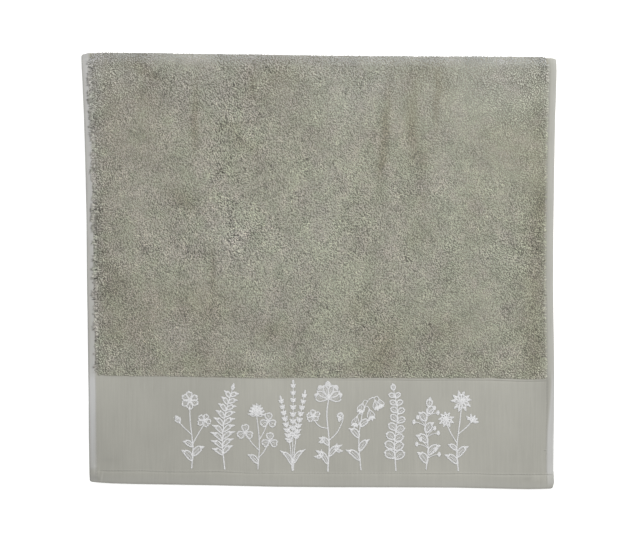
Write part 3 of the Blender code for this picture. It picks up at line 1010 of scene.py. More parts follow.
def cloth_object():
    columns, rows, _ = OUTER.shape
    verts = np.concatenate([OUTER.reshape(-1, 3), INNER_FACE.reshape(-1, 3)])
    verts[:, 2] = np.maximum(verts[:, 2], 0.0)
    index = np.arange(columns * rows).reshape(columns, rows)
    under = index + columns * rows

    def quads(a, b, c, d):
        return np.stack([a.ravel(), b.ravel(), c.ravel(), d.ravel()], 1)

    top = quads(index[:-1, :-1], index[1:, :-1], index[1:, 1:], index[:-1, 1:])
    low = quads(under[:-1, :-1], under[:-1, 1:], under[1:, 1:], under[1:, :-1])
    left = quads(index[0, :-1], index[0, 1:], under[0, 1:], under[0, :-1])
    right = quads(index[-1, :-1], under[-1, :-1], under[-1, 1:], index[-1, 1:])
    front = quads(index[:-1, 0], under[:-1, 0], under[1:, 0], index[1:, 0])
    back = quads(index[:-1, -1], index[1:, -1], under[1:, -1], under[:-1, -1])
    faces = np.concatenate([top, low, left, right, front, back])

    # The map gives the borders and hems more room than the ground under the pile
    border = end("border_depth", NOMINAL)[:, None]
    whole = PATH[:, -1:]
    turn = PATH[:, MARKS[0] : MARKS[0] + 1]
    v = np.zeros_like(PATH)
    stops = [0 * border, border, turn, whole - border, whole]
    for (a, b), (low_v, high_v) in zip(zip(stops, stops[1:]), ((0, 0.36), (0.36, 0.6), (0.6, 0.76), (0.76, 0.97))):
        part = np.clip((PATH - a) / (b - a), 0, 1)
        v += part * (high_v - low_v)
    u = (NOMINAL - NOMINAL[0]) / (NOMINAL[-1] - NOMINAL[0])
    u = (0.84 * u)[:, None] + 0 * v
    flat_uv = np.concatenate([np.stack([u, v], 2).reshape(-1, 2), np.stack([0.86 + 0.1 * u / 0.84, v], 2).reshape(-1, 2)])
    uv = flat_uv[faces.ravel()].reshape(-1, 4, 2)
    n = [len(x) for x in (top, low, left, right, front, back)]
    at = np.cumsum([0] + n)
    for k, (a, b) in enumerate(((0.970, 0.974), (0.978, 0.982))):
        part = uv[at[2 + k] : at[3 + k]]
        is_under = faces[at[2 + k] : at[3 + k]] >= columns * rows
        part[:, :, 0] = np.where(is_under, b, a)
    for k, (a, b) in enumerate(((0.976, 0.98), (0.984, 0.988))):
        part = uv[at[4 + k] : at[5 + k]]
        is_under = faces[at[4 + k] : at[5 + k]] >= columns * rows
        part[:, :, 1] = np.where(is_under, b, a)
        part[:, :, 0] = flat_uv[faces[at[4 + k] : at[5 + k]] % (columns * rows), 0]

    nominal = NOMINAL[:, None] + 0 * PATH
    edge_here, depth_here = EDGES, DEPTHS
    # The side hems show the cloth's paler back, with painted light where their rolls face the light, and not where the
    # end hem lies over them
    past_end = ramp(-1.5, 2.5, depth_here - end("hem_depth", nominal))
    by_pile = ramp(-1, 6, depth_here - end("border_depth", nominal))
    here_y = OUTER[:, :, 1]
    left_hem = np.clip(1 - ((edge_here - 3.8) / 5.0) ** 2, 0, 1) * table(HEM_TONES, "y", "left", here_y)
    reach = table(HEM_TONES, "y", "reach", here_y)
    right_hem = (0.1 + 0.9 * (1 - ramp(reach - 2.6, reach, edge_here))) * (1 - by_pile) + (1 - 0.55 * ramp(0, 7, edge_here)) * by_pile
    right_hem = right_hem * table(HEM_TONES, "y", "right", here_y)
    hem_value = np.where(nominal < 0, left_hem, right_hem) * (1 - ramp(SIDE_HEM - 1.4, SIDE_HEM + 0.6, edge_here))
    over_end = np.where(nominal < 0, 0.12, 0.12 + 0.4 * ramp(3, 8, depth_here))
    hem_value *= over_end + (1 - over_end) * past_end
    on_top = np.arange(rows)[None, :] < MARKS[0]
    # Painted shade along the left outer edge, where it turns away from the light
    rim = np.exp(-((edge_here / 1.0) ** 2)) * (nominal < 0) * on_top * table(HEM_TONES, "y", "rim", here_y)
    # The left hem is greyer and the right one yellower
    in_border = 1 - ramp(-118, -96, here_y)
    warmth = np.where(nominal < 0, -1 + 0.6 * in_border, 0.75 - 0.55 * in_border) * (1 - ramp(SIDE_HEM - 1.4, SIDE_HEM + 1.0, edge_here))
    # A little greyer down to the end hem's edge
    warmth = warmth - 0.5 * (1 - ramp(3.5, 10, depth_here))
    # Painted light and shade along the border
    up = ramp(0.15, 0.95, depth_here / end("border_depth", nominal))
    shade = table(BAND_LIGHT, "x", "foot", nominal) * (1 - up) + table(BAND_LIGHT, "x", "top", nominal) * up
    for n in LIGHT_AND_SHADE_SPOTS:
        a = math.radians(n.turn)
        along = (OUTER[:, :, 0] - n.x) * math.cos(a) + (here_y - n.y) * math.sin(a)
        off = -(OUTER[:, :, 0] - n.x) * math.sin(a) + (here_y - n.y) * math.cos(a)
        shade = shade + n.strength * np.exp(-((along / n.half_long) ** 2) - (off / n.half_wide) ** 2)
    shade = 1 + shade * on_top
    ground = in_pile(edge_here, depth_here, end("border_depth", nominal))
    nap_shading = nap_at(OUTER[:, :, 0], OUTER[:, :, 1])[0] * (np.arange(rows) < MARKS[0])[None, :]
    tousle = tousle_at(OUTER[:, :, 0], OUTER[:, :, 1])
    values = {
        "nap_shading": np.concatenate([nap_shading.ravel()] * 2),
        "tousle": np.concatenate([tousle.ravel()] * 2),
        "hem": np.concatenate([hem_value.ravel()] * 2),
        "shade": np.concatenate([(shade * (1 - 0.26 * rim)).ravel()] * 2),
        "warmth": np.concatenate([warmth.ravel()] * 2),
        "ground": np.concatenate([ground.ravel()] * 2),
    }
    obj = make_mesh("towel_cloth", verts, faces.ravel(), np.full(len(faces), 4), uv.reshape(-1, 2), values)
    obj.data.materials.append(CLOTH)
    return obj


cloth = cloth_object()

# ---------------------------------------------------------------- the pile


def loop_field(x, s, face, seed, low, long, thick, tall, buried=0.3, along_x=None, shade=1.0, n=4):
    """Loops of yarn at these places: their tips and rings as points, radii, outward directions and tones."""
    r = np.random.default_rng(seed)
    count = len(x)
    base, across, along, normal, _ = face.at(x, s)
    value, lean_x, lean_y = nap_at(base[:, 0], base[:, 1])
    flow = 1.4 * soft_noise(seed % 50 + 1, base[:, 0], base[:, 1], 13) + 1.2 * soft_noise(seed % 50 + 2, base[:, 0], base[:, 1], 45)
    # Most loops lie aslant, from the upper left to the lower right
    angle = SLANT + math.pi / 2 + 0.22 * flow + r.normal(0, 0.42, count)
    if along_x is not None:
        angle = r.normal(0, along_x, count) + 0.4 * soft_noise(seed % 50 + 12, base[:, 1], base[:, 0] * 0, 5)
    way = np.cos(angle)[:, None] * across + np.sin(angle)[:, None] * along
    aside = np.cross(normal, way)
    length = long * r.uniform(0.72, 1.28, count)
    radius = thick * r.uniform(0.82, 1.18, count)
    clump = soft_noise(seed % 50 + 3, base[:, 0], base[:, 1], 5.5)
    tousle = tousle_at(base[:, 0], base[:, 1])
    # Clumps of pile that lean or stand alike, small ones within larger ones
    patch = sum(soft_noise(seed % 50 + 6 + k, base[:, 0], base[:, 1], size) for k, size in enumerate((9, 18, 38)))
    fold = ramp(end("fold", x) - 14, end("fold", x) - 2, base[:, 1] - shift[1])
    upright = (0.25 * clump + 0.28 * tousle * r.normal(0, 1, count).clip(-1.8, 1.8)) * (1 - 0.7 * fold)
    height = low + tall * (0.5 + upright + 0.12 * value + 0.08 * patch)
    height = height * (1 - 0.5 * fold) + 0.3 * fold * soft_noise(seed % 50 + 15, x, 0 * x, 11)
    grain = r.normal(0, 1, count).clip(-2.5, 2.5)
    # Some loops are painted darker, painted shade as if they lay deep among the others, more of them where the pile is
    # tousled or parted; a few are painted paler as painted highlights
    chance = r.uniform(0, 1, count)
    deep = (chance < (0.08 * tousle**2 - 0.04 * value).clip(0.01, 0.4)) * r.uniform(0.16, 0.5, count)
    high = (chance > 1 - 0.05 * tousle) * 0.13
    # Short partings between tufts, sunk a little and painted darker as painted shade, and paler wisps raised a little
    # and painted lighter as painted light, which run aslant as the loops do
    beside = base[:, 0] * math.cos(SLANT) + base[:, 1] * math.sin(SLANT)
    onward = base[:, 1] * math.cos(SLANT) - base[:, 0] * math.sin(SLANT)
    wisp = soft_noise(seed % 50 + 13, beside, 0.32 * onward, 1.3)
    seam = (ramp(0.42, 0.92, wisp) - 0.22 * ramp(0.4, 0.9, -wisp)) * ramp(0.6, 1.35, tousle) * (1 - 0.8 * fold)
    height = height - 0.25 * seam
    tone = shade + 0.12 * (tousle - 1) + tousle * (0.05 * grain - deep + high) * (1 - 0.8 * fold) + 0.04 * clump + 0.02 * patch - 0.37 * seam
    lean = 0.75 * (
        (lean_x + 0.7 * soft_noise(seed % 50 + 4, base[:, 0], base[:, 1], 20))[:, None] * across
        + (lean_y + 0.7 * soft_noise(seed % 50 + 5, base[:, 0], base[:, 1], 20))[:, None] * along
    )
    curl = r.normal(0, 0.45, count)
    steps = np.linspace(-1, 1, n)
    points = np.empty((count, n, 3))
    for k, t in enumerate(steps):
        up = height * (1 - 0.5 * t**4) if abs(t) < 0.99 else np.full(count, -buried)
        sway = curl * (1 - t * t) + 0.2 * r.normal(0, 1, count) * (abs(t) < 0.99)
        points[:, k] = (
            base
            + way * (length / 2 * t)[:, None]
            + aside * sway[:, None]
            + normal * up[:, None]
            + lean * (1 - t * t)
        )
    swell = 1 - 0.28 * np.abs(steps[1:-1]) ** 2
    radii = radius[:, None] * swell[None, :]
    # The pile is painted paler, greyer and more even towards the fold: painted light on the turned pile, lit from above
    # and from the pale floor
    painted_fold_light = 0.75 * fold + 0.25 * (1 - fold) * ramp(end("fold", x) - 90, end("fold", x) - 4, base[:, 1] - shift[1])
    return points, radii, normal, PILE, tone, painted_fold_light, value


def scatter(seed, spacing_x, spacing_s, low_s, high_s, margin):
    """Uneven rows of places over the pile, from low_s(x) to high_s(x) along the path."""
    r = np.random.default_rng(seed)
    left, right = NOMINAL[0] + margin, NOMINAL[-1] - margin
    rows = int((high_s(0.0) - low_s(0.0)) / spacing_s)
    across = int((right - left) / spacing_x)
    k, i = np.meshgrid(np.arange(rows), np.arange(across), indexing="ij")
    x = left + (i + 0.5 + 0.5 * (k % 2) - 0.25) * spacing_x + r.uniform(-0.45, 0.45, k.shape) * spacing_x
    v = (k + 0.5 + r.uniform(-0.45, 0.45, k.shape)) / rows
    x, v = x.ravel(), v.ravel()
    return x, low_s(x) + v * (high_s(x) - low_s(x)), v


def border_at(x):
    return end("border_depth", x)


def fold_end(x):
    """Path distance at which the cloth has turned right under."""
    return np.interp(x, NOMINAL, PATH[:, MARKS[1] - 1])


def back_start(x):
    return np.interp(x, NOMINAL, PATH[:, -1]) - end("border_depth", x)


pieces = []
front_x, front_s, front_v = scatter(3, 1.32, 1.30, lambda x: border_at(x) + 0.5, fold_end, SIDE_HEM + 1.7)
# Its left edge is ragged
ragged = 2.0 * np.clip(0.5 + 0.5 * soft_noise(44, front_s, 0 * front_s, 8) + 0.3 * soft_noise(45, front_s, 0 * front_s, 3), 0, 1)
kept = front_x > NOMINAL[0] + SIDE_HEM + 1.7 + ragged
front_x, front_s, front_v = front_x[kept], front_s[kept], front_v[kept]
SPLIT = 5
front = loop_field(front_x, front_s, outer_face, 101, 0.5, 2.8, 0.57, 0.92, n=3)
for part in range(SPLIT):
    here = (front_v >= part / SPLIT) & (front_v < (part + 1) / SPLIT)
    pieces.append(strands(f"pile_front_{part + 1}", *(a[here] if a is not PILE else a for a in front), floor=0.0))


def side_overlap():
    """Loops that lie out over the side hems, more on the left than on the right."""
    r = np.random.default_rng(77)
    xs, ss = [], []
    for left_side, reach, number in ((True, 6.4, 1700), (False, 1.0, 300)):
        s = r.uniform(border_at(0) + 2, LENGTH[0] + 3, number)
        uneven = 0.5 + 0.5 * soft_noise(41 + left_side, s, 0 * s, 9)
        tuft = 0.5 + 0.5 * soft_noise(43, s, 0 * s, 3.4)
        out = reach * r.uniform(0, 1, number) ** 1.3 * (0.25 + 0.75 * uneven) * (0.35 + 0.85 * tuft)
        edge_in = SIDE_HEM + (1.4 if left_side else 0.6) - np.minimum(out, 3.0 + 0.8 * tuft)
        xs.append(NOMINAL[0] + edge_in if left_side else NOMINAL[-1] - edge_in)
        ss.append(s)
    return np.concatenate(xs), np.concatenate(ss)


x, s = side_overlap()
# Pale strands lie among dark ones here
strand_shade = np.where((np.random.default_rng(79).uniform(0, 1, len(x)) < 0.42) | (x > 0), 0.97, 0.52)
pieces.append(strands("pile_side_overlap", *loop_field(x, s, outer_face, 151, 0.3, 6.2, 0.33, 0.5, along_x=0.5, shade=strand_shade), floor=0.0))

under_x, under_s, _ = scatter(5, 4.8, 4.7, lambda x: fold_end(x) + 0.5, lambda x: back_start(x) - 1.0, SIDE_HEM + 1.2)
under = loop_field(under_x, under_s, outer_face, 201, 0.45, 5.8, 1.15, 0.75)
pieces.append(strands("pile_under", *under, floor=0.0))


def inner_rim():
    """Pile on the two faces that meet inside, only near the open edges where it can be seen."""
    r = np.random.default_rng(88)
    xs, ss = [], []
    for from_left in (True, False):
        for low, high in ((border_at(0) + 2, LENGTH[0] - 2), (fold_end(0) + 6, back_start(0) - 2)):
            number = int((high - low) * 8 / 8.5)
            s = r.uniform(low, high, number)
            inside = SIDE_HEM + 1.6 + r.uniform(0, 8, number)
            xs.append(NOMINAL[0] + inside if from_left else NOMINAL[-1] - inside)
            ss.append(s)
    return np.concatenate(xs), np.concatenate(ss)


x, s = inner_rim()
pieces.append(strands("pile_inner_rim", *loop_field(x, s, inner_face, 251, 0.35, 4.0, 0.7, 0.6), floor=0.0))

# ---------------------------------------------------------------- hem stitching


def stitch_row(x, s, face, pitch, long, thick, sunk, seed, tone=1.0):
    """Thread stitches in a row along these points of a face, which lie close together."""
    base, across, along, normal, _ = face.at(x, s)
    gap = np.linalg.norm(np.diff(base, axis=0), axis=1)
    run = np.concatenate([[0], np.cumsum(gap)])
    r = np.random.default_rng(seed)
    starts = np.arange(pitch * 0.5, run[-1] - long, pitch) + r.normal(0, 0.12, int(np.ceil((run[-1] - long - pitch * 0.5) / pitch)))
    at = starts[:, None] + long * np.array([0, 0.22, 0.5, 0.78, 1.0])[None, :]
    points = np.stack([np.interp(at, run, base[:, k]) for k in range(3)], 2)
    up = np.stack([np.interp(starts + long / 2, run, normal[:, k]) for k in range(3)], 1)
    up /= np.linalg.norm(up, axis=1, keepdims=True)
    rise = np.array([-0.35, 0.05, 0.12, 0.05, -0.35]) - sunk
    points = points + up[:, None, :] * rise[None, :, None]
    radii = np.full((len(starts), 3), thick) * np.array([0.85, 1.0, 0.85])
    return points, radii, up, tone(points[:, 2, 0]) if callable(tone) else np.full(len(starts), tone)


def join(fields):
    return [np.concatenate(part) for part in zip(*fields)]


def hem_stitches():
    fields = []
    back_end = PATH[:, -1].min()
    for low, high in ((4.0, LENGTH[0] - 1.0), (LENGTH[0] + 16, back_end - 4.0)):
        s = np.arange(low, high, 0.5)
        for x in (NOMINAL[0] + SIDE_HEM - 0.9, NOMINAL[-1] - SIDE_HEM + 0.9):
            fields.append(stitch_row(np.full(s.shape, x), s, outer_face, 3.1, 2.5, 0.2, 0.02, 7))
    x = np.arange(NOMINAL[0] + 13, NOMINAL[-1] - 2.5, 0.5)
    # The thread is painted paler in places: painted light that lifts the shade of the stitching line where it shows
    # faint
    paler = lambda px: np.interp(px, *np.array([
        (-236, 1.06), (-228, 0.93), (-205, 0.93), (-192, 1.02), (-166, 1.03), (-156, 0.93), (-143, 1.02),
        (-133, 1.10), (-105, 1.08), (-90, 1.06), (-65, 1.17), (60, 1.22), (96, 1.18), (107, 1.07),
        (124, 1.06), (150, 1.15), (178, 1.10), (205, 1.03), (218, 1.10), (235, 1.24)]).T)
    fields.append(stitch_row(x, end("hem_depth", x) + 0.0, outer_face, 3.1, 2.6, 0.22, 0.03, 8, paler))
    # A catch stitch across the right side hem's seam
    x_catch = np.linspace(NOMINAL[-1] - 11.4, NOMINAL[-1] - 6.4, 12)
    fields.append(stitch_row(x_catch, np.full(12, 41.0), outer_face, 1.0, 4.4, 0.3, -0.15, 10, 1.2))
    far = np.interp(x, NOMINAL, PATH[:, -1])
    fields.append(stitch_row(x, far - end("hem_depth", x) - 0.6, outer_face, 3.1, 2.6, 0.22, 0.02, 9))
    return join(fields)


points, radii, normal, tone = hem_stitches()
pieces.append(strands("hem_stitching", points, radii, normal, THREAD, tone, floor=0.0))

# ---------------------------------------------------------------- embroidery


class Sprig:
    """Stitches of one sprig, drawn in mm upwards from the foot of its stem."""

    def __init__(self, seed):
        self.r = np.random.default_rng(seed)
        self.stitches = []

    def put(self, a, b, high=0.42, thick=0.27):
        self.stitches.append((a[0], a[1], b[0], b[1], high, thick))

    def line(self, points, width=1.5, end_width=None, pitch=0.5, slant=0.35, high=0.4):
        """A column of satin stitches along a smooth line through the points."""
        path = smooth_line(points)
        run = np.concatenate([[0], np.cumsum(np.linalg.norm(np.diff(path, axis=0), axis=1))])
        at = np.arange(0, run[-1], pitch)
        if len(at) < 2:
            return
        here = np.stack([np.interp(at, run, path[:, k]) for k in range(2)], 1)
        way = np.gradient(here, axis=0)
        way /= np.maximum(np.linalg.norm(way, axis=1, keepdims=True), 1e-9)
        aside = np.stack([-way[:, 1], way[:, 0]], 1)
        wide = np.interp(at / run[-1], [0, 1], [width, end_width or width])
        wide = 1.12 * wide * self.r.uniform(0.86, 1.12, len(at))
        for p, w, q, size in zip(here, way, aside, wide):
            self.put(p - q * size / 2 - w * slant * size / 2, p + q * size / 2 + w * slant * size / 2, high)

    def leaf(self, foot, angle, long, wide, bend=0.12, fill=0.3, rim=1.75, blunt=0.8, vein=True, sparse=True):
        """A leaf or petal: a stitched rim, its tip worked solid for the share fill, thin stitches over the rest and a vein."""
        a = math.radians(angle)
        way = np.array([math.cos(a), math.sin(a)])
        aside = np.array([-way[1], way[0]])
        foot = np.array(foot, float)
        path = smooth_line([foot, foot + way * long * 0.5 + aside * bend * long, foot + way * long])
        run = np.concatenate([[0], np.cumsum(np.linalg.norm(np.diff(path, axis=0), axis=1))])
        total = run[-1]
        way_at = np.gradient(path, axis=0)
        way_at /= np.maximum(np.linalg.norm(way_at, axis=1, keepdims=True), 1e-9)

        def spot(t):
            p = np.array([np.interp(t * total, run, path[:, k]) for k in range(2)])
            w = np.array([np.interp(t * total, run, way_at[:, k]) for k in range(2)])
            return p, w, np.array([-w[1], w[0]])

        def half(t):
            return wide / 2 * math.sin(math.pi * min(1, max(0, t)) ** blunt) ** 0.7

        for t in np.arange(1 - fill, 0.98, 0.5 / total):
            p, w, q = spot(t)
            h = half(t) * self.r.uniform(0.93, 1.07)
            self.put(p - q * h - w * 0.25 * h, p + q * h + w * 0.25 * h, 0.48)
        if fill < 0.9:
            stop = 1 - fill * 0.8
            for turn in (-1, 1):
                rim_line = []
                for t in np.linspace(0.02, stop, 9):
                    p, w, q = spot(t)
                    rim_line.append(p + q * turn * max(half(t) - rim * 0.35, 0))
                self.line(rim_line, rim)
            if sparse:
                for t in np.arange(0.16, 1 - fill, 1.25 / total):
                    p, w, q = spot(t)
                    h = half(t) - rim * 0.5
                    if h > 0.6:
                        self.put(p - q * h - w * 0.4 * h, p + q * h + w * 0.4 * h, 0.22, 0.2)
            if vein:
                self.line([spot(t)[0] for t in (0.02, 0.3, 0.62)], 0.8, 0.6)

    def bloom(self, centre, size, petals, turn=0.0, wide=0.8, fill=0.25, heart=0.24, spread=360, blunt=1.25):
        """Open petals about a heart. turn is where the first one points, in degrees."""
        centre = np.array(centre, float)
        for k in range(petals):
            angle = turn + (spread * k / petals if spread == 360 else spread * (k / max(petals - 1, 1) - 0.5))
            angle += self.r.uniform(-5, 5)
            way = np.array([math.cos(math.radians(angle)), math.sin(math.radians(angle))])
            long = size * self.r.uniform(0.9, 1.08)
            self.leaf(centre + way * size * 0.12, angle, long * 0.9, size * wide, self.r.uniform(-0.08, 0.08), fill, 1.6, blunt, vein=False)
        if heart:
            self.knot(centre, heart * size)

    def knot(self, centre, radius):
        """A small round worked solid."""
        for t in np.arange(-radius + 0.15, radius, 0.46):
            h = math.sqrt(max(radius**2 - t * t, 0.01))
            self.put(np.array(centre) + (-h, t), np.array(centre) + (h, t + 0.1), 0.58)

    def branch(self, stem, t, turn, long, wide, **rest):
        """A leaf from a place along a stem, bent back towards its tip."""
        p, a = on_line(stem, t)
        self.leaf(p, a + turn, long, wide, -0.12 if turn > 0 else 0.12, **rest)
        return p


def smooth_line(points, steps=14):
    """Points along a smooth line through the given ones."""
    p = np.array(points, float)
    if len(p) == 2:
        return p[0] + (p[1] - p[0]) * np.linspace(0, 1, steps)[:, None]
    padded = np.concatenate([[2 * p[0] - p[1]], p, [2 * p[-1] - p[-2]]])
    out = []
    for a, b, c, d in zip(padded, padded[1:], padded[2:], padded[3:]):
        for t in np.linspace(0, 1, steps, endpoint=False):
            out.append(0.5 * (2 * b + (c - a) * t + (2 * a - 5 * b + 4 * c - d) * t * t + (3 * b - a - 3 * c + d) * t**3))
    out.append(p[-1])
    return np.array(out)


def on_line(points, t):
    path = smooth_line(points)
    k = t * (len(path) - 1)
    i = min(int(k), len(path) - 2)
    p = path[i] * (1 - k + i) + path[i + 1] * (k - i)
    w = path[i + 1] - path[i]
    return p, math.degrees(math.atan2(w[1], w[0]))


def anemones(s):
    stem = [(0, 0), (1.5, 20), (-1, 44), (-1.5, 60)]
    s.line(stem, 1.7, 1.4)
    s.bloom((-1.5, 65), 9.0, 6, 30, 0.72)
    right = [on_line(stem, 0.38)[0], (6, 32), (11.5, 41)]
    s.line(right, 1.4)
    s.bloom((12.5, 46), 7.4, 5, 70, 0.78)
    left = [on_line(stem, 0.5)[0], (-6, 38), (-11, 43)]
    s.line(left, 1.3)
    s.leaf((-11, 43), 118, 8.5, 6.4, 0.0, 0.5, blunt=1.2)
    s.branch(stem, 0.12, 52, 15, 6.6)
    s.branch(stem, 0.2, -46, 15, 6.8)
    s.branch(stem, 0.34, 60, 11.5, 5.6)


def fern(s):
    stem = [(0, 0), (-2, 26), (0.5, 54), (8, 80)]
    s.line(stem, 1.7, 1.1)
    for k in range(9):
        t = 0.18 + 0.088 * k
        long = 15.5 * (1 - 0.72 * abs(t - 0.36) ** 0.95)
        s.branch(stem, t, 56, long, 5.0, fill=0.4, vein=False)
        s.branch(stem, t + 0.02, -56, long, 5.0, fill=0.4, vein=False)
    p, a = on_line(stem, 0.99)
    s.leaf(p, a, 7.0, 4.0, 0.0, 0.6)


def clover(s):
    stem = [(0, 0), (-1.5, 24), (1, 50)]
    s.line(stem, 1.6, 1.3)
    for low, count, size in ((0, 7, 8.6), (2.4, 6, 7.6), (4.8, 5, 6.4)):
        for k in range(count):
            s.leaf((1, 49 + low), 196 * (k + 0.5) / count - 8, size, 3.6, 0.0, 0.55, 1.1, vein=False)
    for t, tip in ((0.22, (-11, 26)), (0.36, (11.5, 33)), (0.55, (-9.5, 44))):
        p, _ = on_line(stem, t)
        tip = np.array(tip, float)
        s.line([p, (p + tip) / 2 + (0, -1.6), tip], 1.3)
        for a in (92, 208, -28):
            s.leaf(tip, a, 8.2, 7.6, 0.0, 0.2, blunt=1.3)
    s.branch(stem, 0.1, -55, 13, 5.6)


def lavender(s):
    for foot, top, lean, start in (((-0.6, 0), 70, -11, 0.5), ((0, 0), 86, 0.5, 0.5), ((0.6, 1), 76, 11, 0.52)):
        stem = [foot, (foot[0] + lean * 0.22, top * 0.4), (foot[0] + lean, top)]
        s.line(stem, 1.4, 1.0)
        for k in range(8):
            t = start + (0.97 - start) * k / 7
            long = 6.6 - 0.36 * k
            s.branch(stem, t, 40, long, 3.9, fill=0.62, vein=False, sparse=False)
            s.branch(stem, t, -40, long, 3.9, fill=0.62, vein=False, sparse=False)
        p, a = on_line(stem, 1.0)
        s.leaf(p, a, 5, 3.2, 0.0, 0.9)
    s.leaf((-0.5, 5), 130, 20, 5.0, -0.14)
    s.leaf((0.8, 7), 50, 19, 5.0, 0.14)


def poppy(s):
    stem = [(0, 0), (1.4, 28), (-1, 54), (0.5, 70)]
    s.line(stem, 1.9, 1.6)
    for angle, wide, long, fill in ((162, 11, 14.5, 0.2), (18, 11, 14.5, 0.2), (124, 12, 16.5, 0.25), (56, 12, 16.5, 0.25), (90, 11, 18, 0.3)):
        s.leaf((0.5, 70.5), angle, long, wide, 0.0, fill, 1.5, 1.35)
    s.knot((0.5, 73), 2.6)
    bud = [on_line(stem, 0.36)[0], (9, 38), (14.5, 50), (13, 57)]
    s.line(bud, 1.3)
    s.leaf((13, 57.5), -104, 9.5, 7.0, 0.0, 0.55)
    second = [on_line(stem, 0.5)[0], (-8, 44), (-13.5, 50)]
    s.line(second, 1.3)
    s.bloom((-14.5, 54), 7.0, 5, 90, 0.85)
    for t, turn, long in ((0.08, 46, 19), (0.17, -46, 18), (0.3, 54, 13)):
        p = s.branch(stem, t, turn, long, 6.0)
        a = on_line(stem, t)[1] + turn
        q = p + long * 0.5 * np.array([math.cos(math.radians(a)), math.sin(math.radians(a))])
        side_turn = 1 if turn > 0 else -1
        s.leaf(q, a + 44 * side_turn, long * 0.42, 3.6, 0.0, 0.5, vein=False)
        s.leaf(q, a - 40 * side_turn, long * 0.42, 3.6, 0.0, 0.5, vein=False)


def bells(s):
    stem = [(0, 0), (-2, 28), (1, 54), (7, 68), (13.5, 71)]
    s.line(stem, 1.6, 1.2)
    for t, way, size in ((0.5, -1, 11), (0.6, 1, 11), (0.72, -1, 10.5), (0.82, 1, 10), (0.97, 1, 8.8)):
        p, _ = on_line(stem, t)
        neck = p + (4.6 * way, -1.2)
        s.line([p, p + (2.8 * way, 1.2), neck], 1.1)
        a = -90 + 16 * way
        s.leaf(neck, a, size, 8.0, 0.0, 0.12, 1.3, 1.5)
        tip = neck + size * 0.72 * np.array([math.cos(math.radians(a)), math.sin(math.radians(a))])
        for turn in (-48, 0, 48):
            s.leaf(tip, a + turn, size * 0.42, 3.4, 0.0, 0.7, vein=False)
    for t, turn, long in ((0.08, 48, 18), (0.16, -46, 16), (0.28, 50, 14), (0.38, -50, 12)):
        s.branch(stem, t, turn, long, 6.4)


def round_leaves(s):
    stem = [(0, 0), (1.5, 28), (-1.5, 56), (2.5, 80)]
    s.line(stem, 1.7, 1.1)
    for k in range(8):
        t = 0.13 + 0.108 * k
        size = 12.8 - 0.75 * k
        s.branch(stem, t, 58, size, size * 0.72, fill=0.16, blunt=1.1)
        s.branch(stem, t + 0.015, -58, size, size * 0.72, fill=0.16, blunt=1.1)
    p, a = on_line(stem, 1.0)
    s.leaf(p, a, 7.5, 5.4, 0.0, 0.35)


def berries(s):
    stem = [(0, 0), (2, 20), (-1, 42), (2, 60)]
    s.line(stem, 1.7, 1.2)
    for t, turn, long in ((0.1, 50, 14.5), (0.24, -50, 15.5), (0.42, 50, 14), (0.56, -48, 13), (0.74, 46, 11.5), (0.88, -44, 10)):
        s.branch(stem, t, turn, long, 7.4)
    for t, way in ((0.18, 1), (0.34, -1), (0.5, 1), (0.66, -1), (0.82, 1)):
        p, _ = on_line(stem, t)
        for reach, rise in ((7.5, 8.5), (11, 4.0)):
            far = p + (reach * way, rise)
            s.line([p, (p + far) / 2 + (0, 0.9), far], 1.0)
            s.knot(far, 2.3)
    p, a = on_line(stem, 1.0)
    s.leaf(p, a, 10, 6.6, 0.0, 0.4)


def daisies(s):
    stem = [(0, 0), (-1.5, 22), (1, 46), (2.5, 62)]
    s.line(stem, 1.7, 1.4)
    s.bloom((2.8, 68), 10.2, 10, 4, 0.42, 0.5, 0.26, blunt=1.1)
    left = [on_line(stem, 0.4)[0], (-7, 36), (-11.5, 45)]
    s.line(left, 1.4)
    s.bloom((-12.5, 50), 8.2, 9, 16, 0.44, 0.5, 0.28, blunt=1.1)
    right = [on_line(stem, 0.52)[0], (7, 42), (11.5, 47)]
    s.line(right, 1.3)
    s.bloom((12.5, 49), 6.8, 5, 62, 0.5, 0.6, 0.3, 150)
    s.branch(stem, 0.1, 50, 16, 6.6)
    s.branch(stem, 0.2, -50, 16, 6.6)
    s.branch(stem, 0.3, 56, 11, 5.0)


# Sprigs from left to right: which, place across, height of the foot above the hem
# stitching, scale, and 1 or -1 as drawn or mirrored
Place = namedtuple("Place", "kind x foot scale flip")
SPRIGS = [
    Place(anemones, -136, 3.5, 1.1, 1),
    Place(fern, -101, 2.5, 1.06, 1),
    Place(clover, -66, 4.0, 1.16, -1),
    Place(lavender, -29, 2.5, 1.06, 1),
    Place(poppy, 8, 2.0, 1.08, 1),
    Place(bells, 43, 3.5, 1.08, 1),
    Place(round_leaves, 80, 2.5, 1.06, -1),
    Place(berries, 112, 4.0, 1.1, 1),
    Place(daisies, 146, 2.5, 1.08, 1),
]


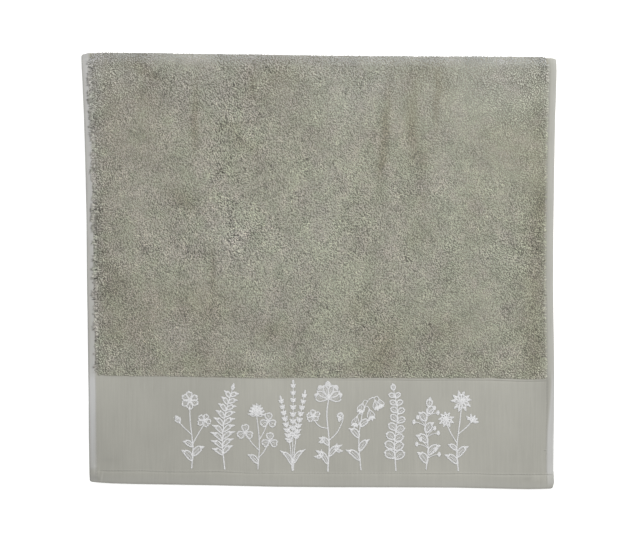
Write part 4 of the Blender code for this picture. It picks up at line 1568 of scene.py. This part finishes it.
def embroidery():
    rows = []
    for k, p in enumerate(SPRIGS):
        sprig = Sprig(500 + k)
        p.kind(sprig)
        found = np.array(sprig.stitches)
        found[:, :4] *= p.scale
        found[:, [0, 2]] = found[:, [0, 2]] * p.flip + p.x
        hem = end("hem_depth", p.x)
        found[:, [1, 3]] += hem + p.foot
        rows.append(found)
    st = np.concatenate(rows)
    r = np.random.default_rng(9)
    steps = np.array([0, 0.2, 0.8, 1.0])
    ax, ay, bx, by, high, thick = st.T
    x = ax[:, None] + (bx - ax)[:, None] * steps
    y = ay[:, None] + (by - ay)[:, None] * steps
    base, _, _, normal, _ = outer_face.at(x.ravel(), y.ravel())
    base, normal = base.reshape(-1, 4, 3), normal.reshape(-1, 4, 3)
    rise = np.stack([0 * high - 0.15, high * 0.85, high * 0.85, 0 * high - 0.15], 1) * r.uniform(0.85, 1.15, (len(st), 1))
    points = base + normal * rise[:, :, None]
    radii = np.repeat(thick[:, None], 2, 1)
    tone = 1 + 0.03 * r.normal(0, 1, len(st))
    return strands("embroidered_sprigs", points, radii, normal[:, 1], FLOSS, tone, flat=0.8)


pieces.append(embroidery())

# ---------------------------------------------------------------- frame, floor, light, camera

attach(cloth, "root")
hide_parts("towel")
for piece in pieces:
    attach(piece, "root")


def floor():
    size = 4.0
    mesh = bpy.data.meshes.new("floor")
    corners = [(-size, -size, 0), (size, -size, 0), (size, size, 0), (-size, size, 0)]
    mesh.from_pydata([(x, y, -0.0004) for x, y, _ in corners], [], [(0, 1, 2, 3)])
    obj = bpy.data.objects.new("floor", mesh)
    bpy.context.scene.collection.objects.link(obj)
    m = Nodes("pale_floor")
    m.shader.inputs["Emission Color"].default_value = rgb(1, 1, 1)
    m.shader.inputs["Emission Strength"].default_value = 0.5
    obj.data.materials.append(m.finish(rgb(0.93, 0.93, 0.925), 0.9, 0.1))


def soft_light(name, place, aim, size, power, colour=(1, 1, 1)):
    data = bpy.data.lights.new(name, "AREA")
    data.shape, data.size, data.energy, data.color = "DISK", size, power, colour
    obj = bpy.data.objects.new(name, data)
    bpy.context.scene.collection.objects.link(obj)
    obj.location = place
    way = np.array(aim, float) - np.array(place, float)
    from mathutils import Vector

    obj.rotation_euler = Vector(way).to_track_quat("-Z", "Y").to_euler()
    return obj


def lights():
    scene = bpy.context.scene
    world = bpy.data.worlds.new("studio")
    world.use_nodes = True
    back = world.node_tree.nodes["Background"]
    back.inputs["Color"].default_value = (1.0, 1.0, 1.0, 1)
    back.inputs["Strength"].default_value = 0.55
    scene.world = world
    soft_light("key", (1.0, 0.9, 1.3), (0, 0, 0), 1.2, 20)
    soft_light("fill", (-1.3, 0.4, 1.0), (0, 0, 0), 1.0, 5)
    soft_light("top", (0.25, 0.2, 1.3), (0, 0, 0), 0.9, 4)


def camera():
    data = bpy.data.cameras.new("camera")
    obj = bpy.data.objects.new("camera", data)
    scene = bpy.context.scene
    scene.collection.objects.link(obj)
    mm_per_px = 1.0515
    away = 2.2
    data.sensor_fit = "HORIZONTAL"
    data.sensor_width = 36
    data.lens = 36 * (away * 1000 - 8) / (640 * mm_per_px)
    obj.location = (((320 - 319.0) * mm_per_px + shift[0]) * MM, ((270.64 - 280) * mm_per_px + shift[1]) * MM, away)
    obj.rotation_euler = (0, 0, 0)
    scene.camera = obj


floor()
lights()
camera()
bpy.context.scene.view_settings.view_transform = "Standard"
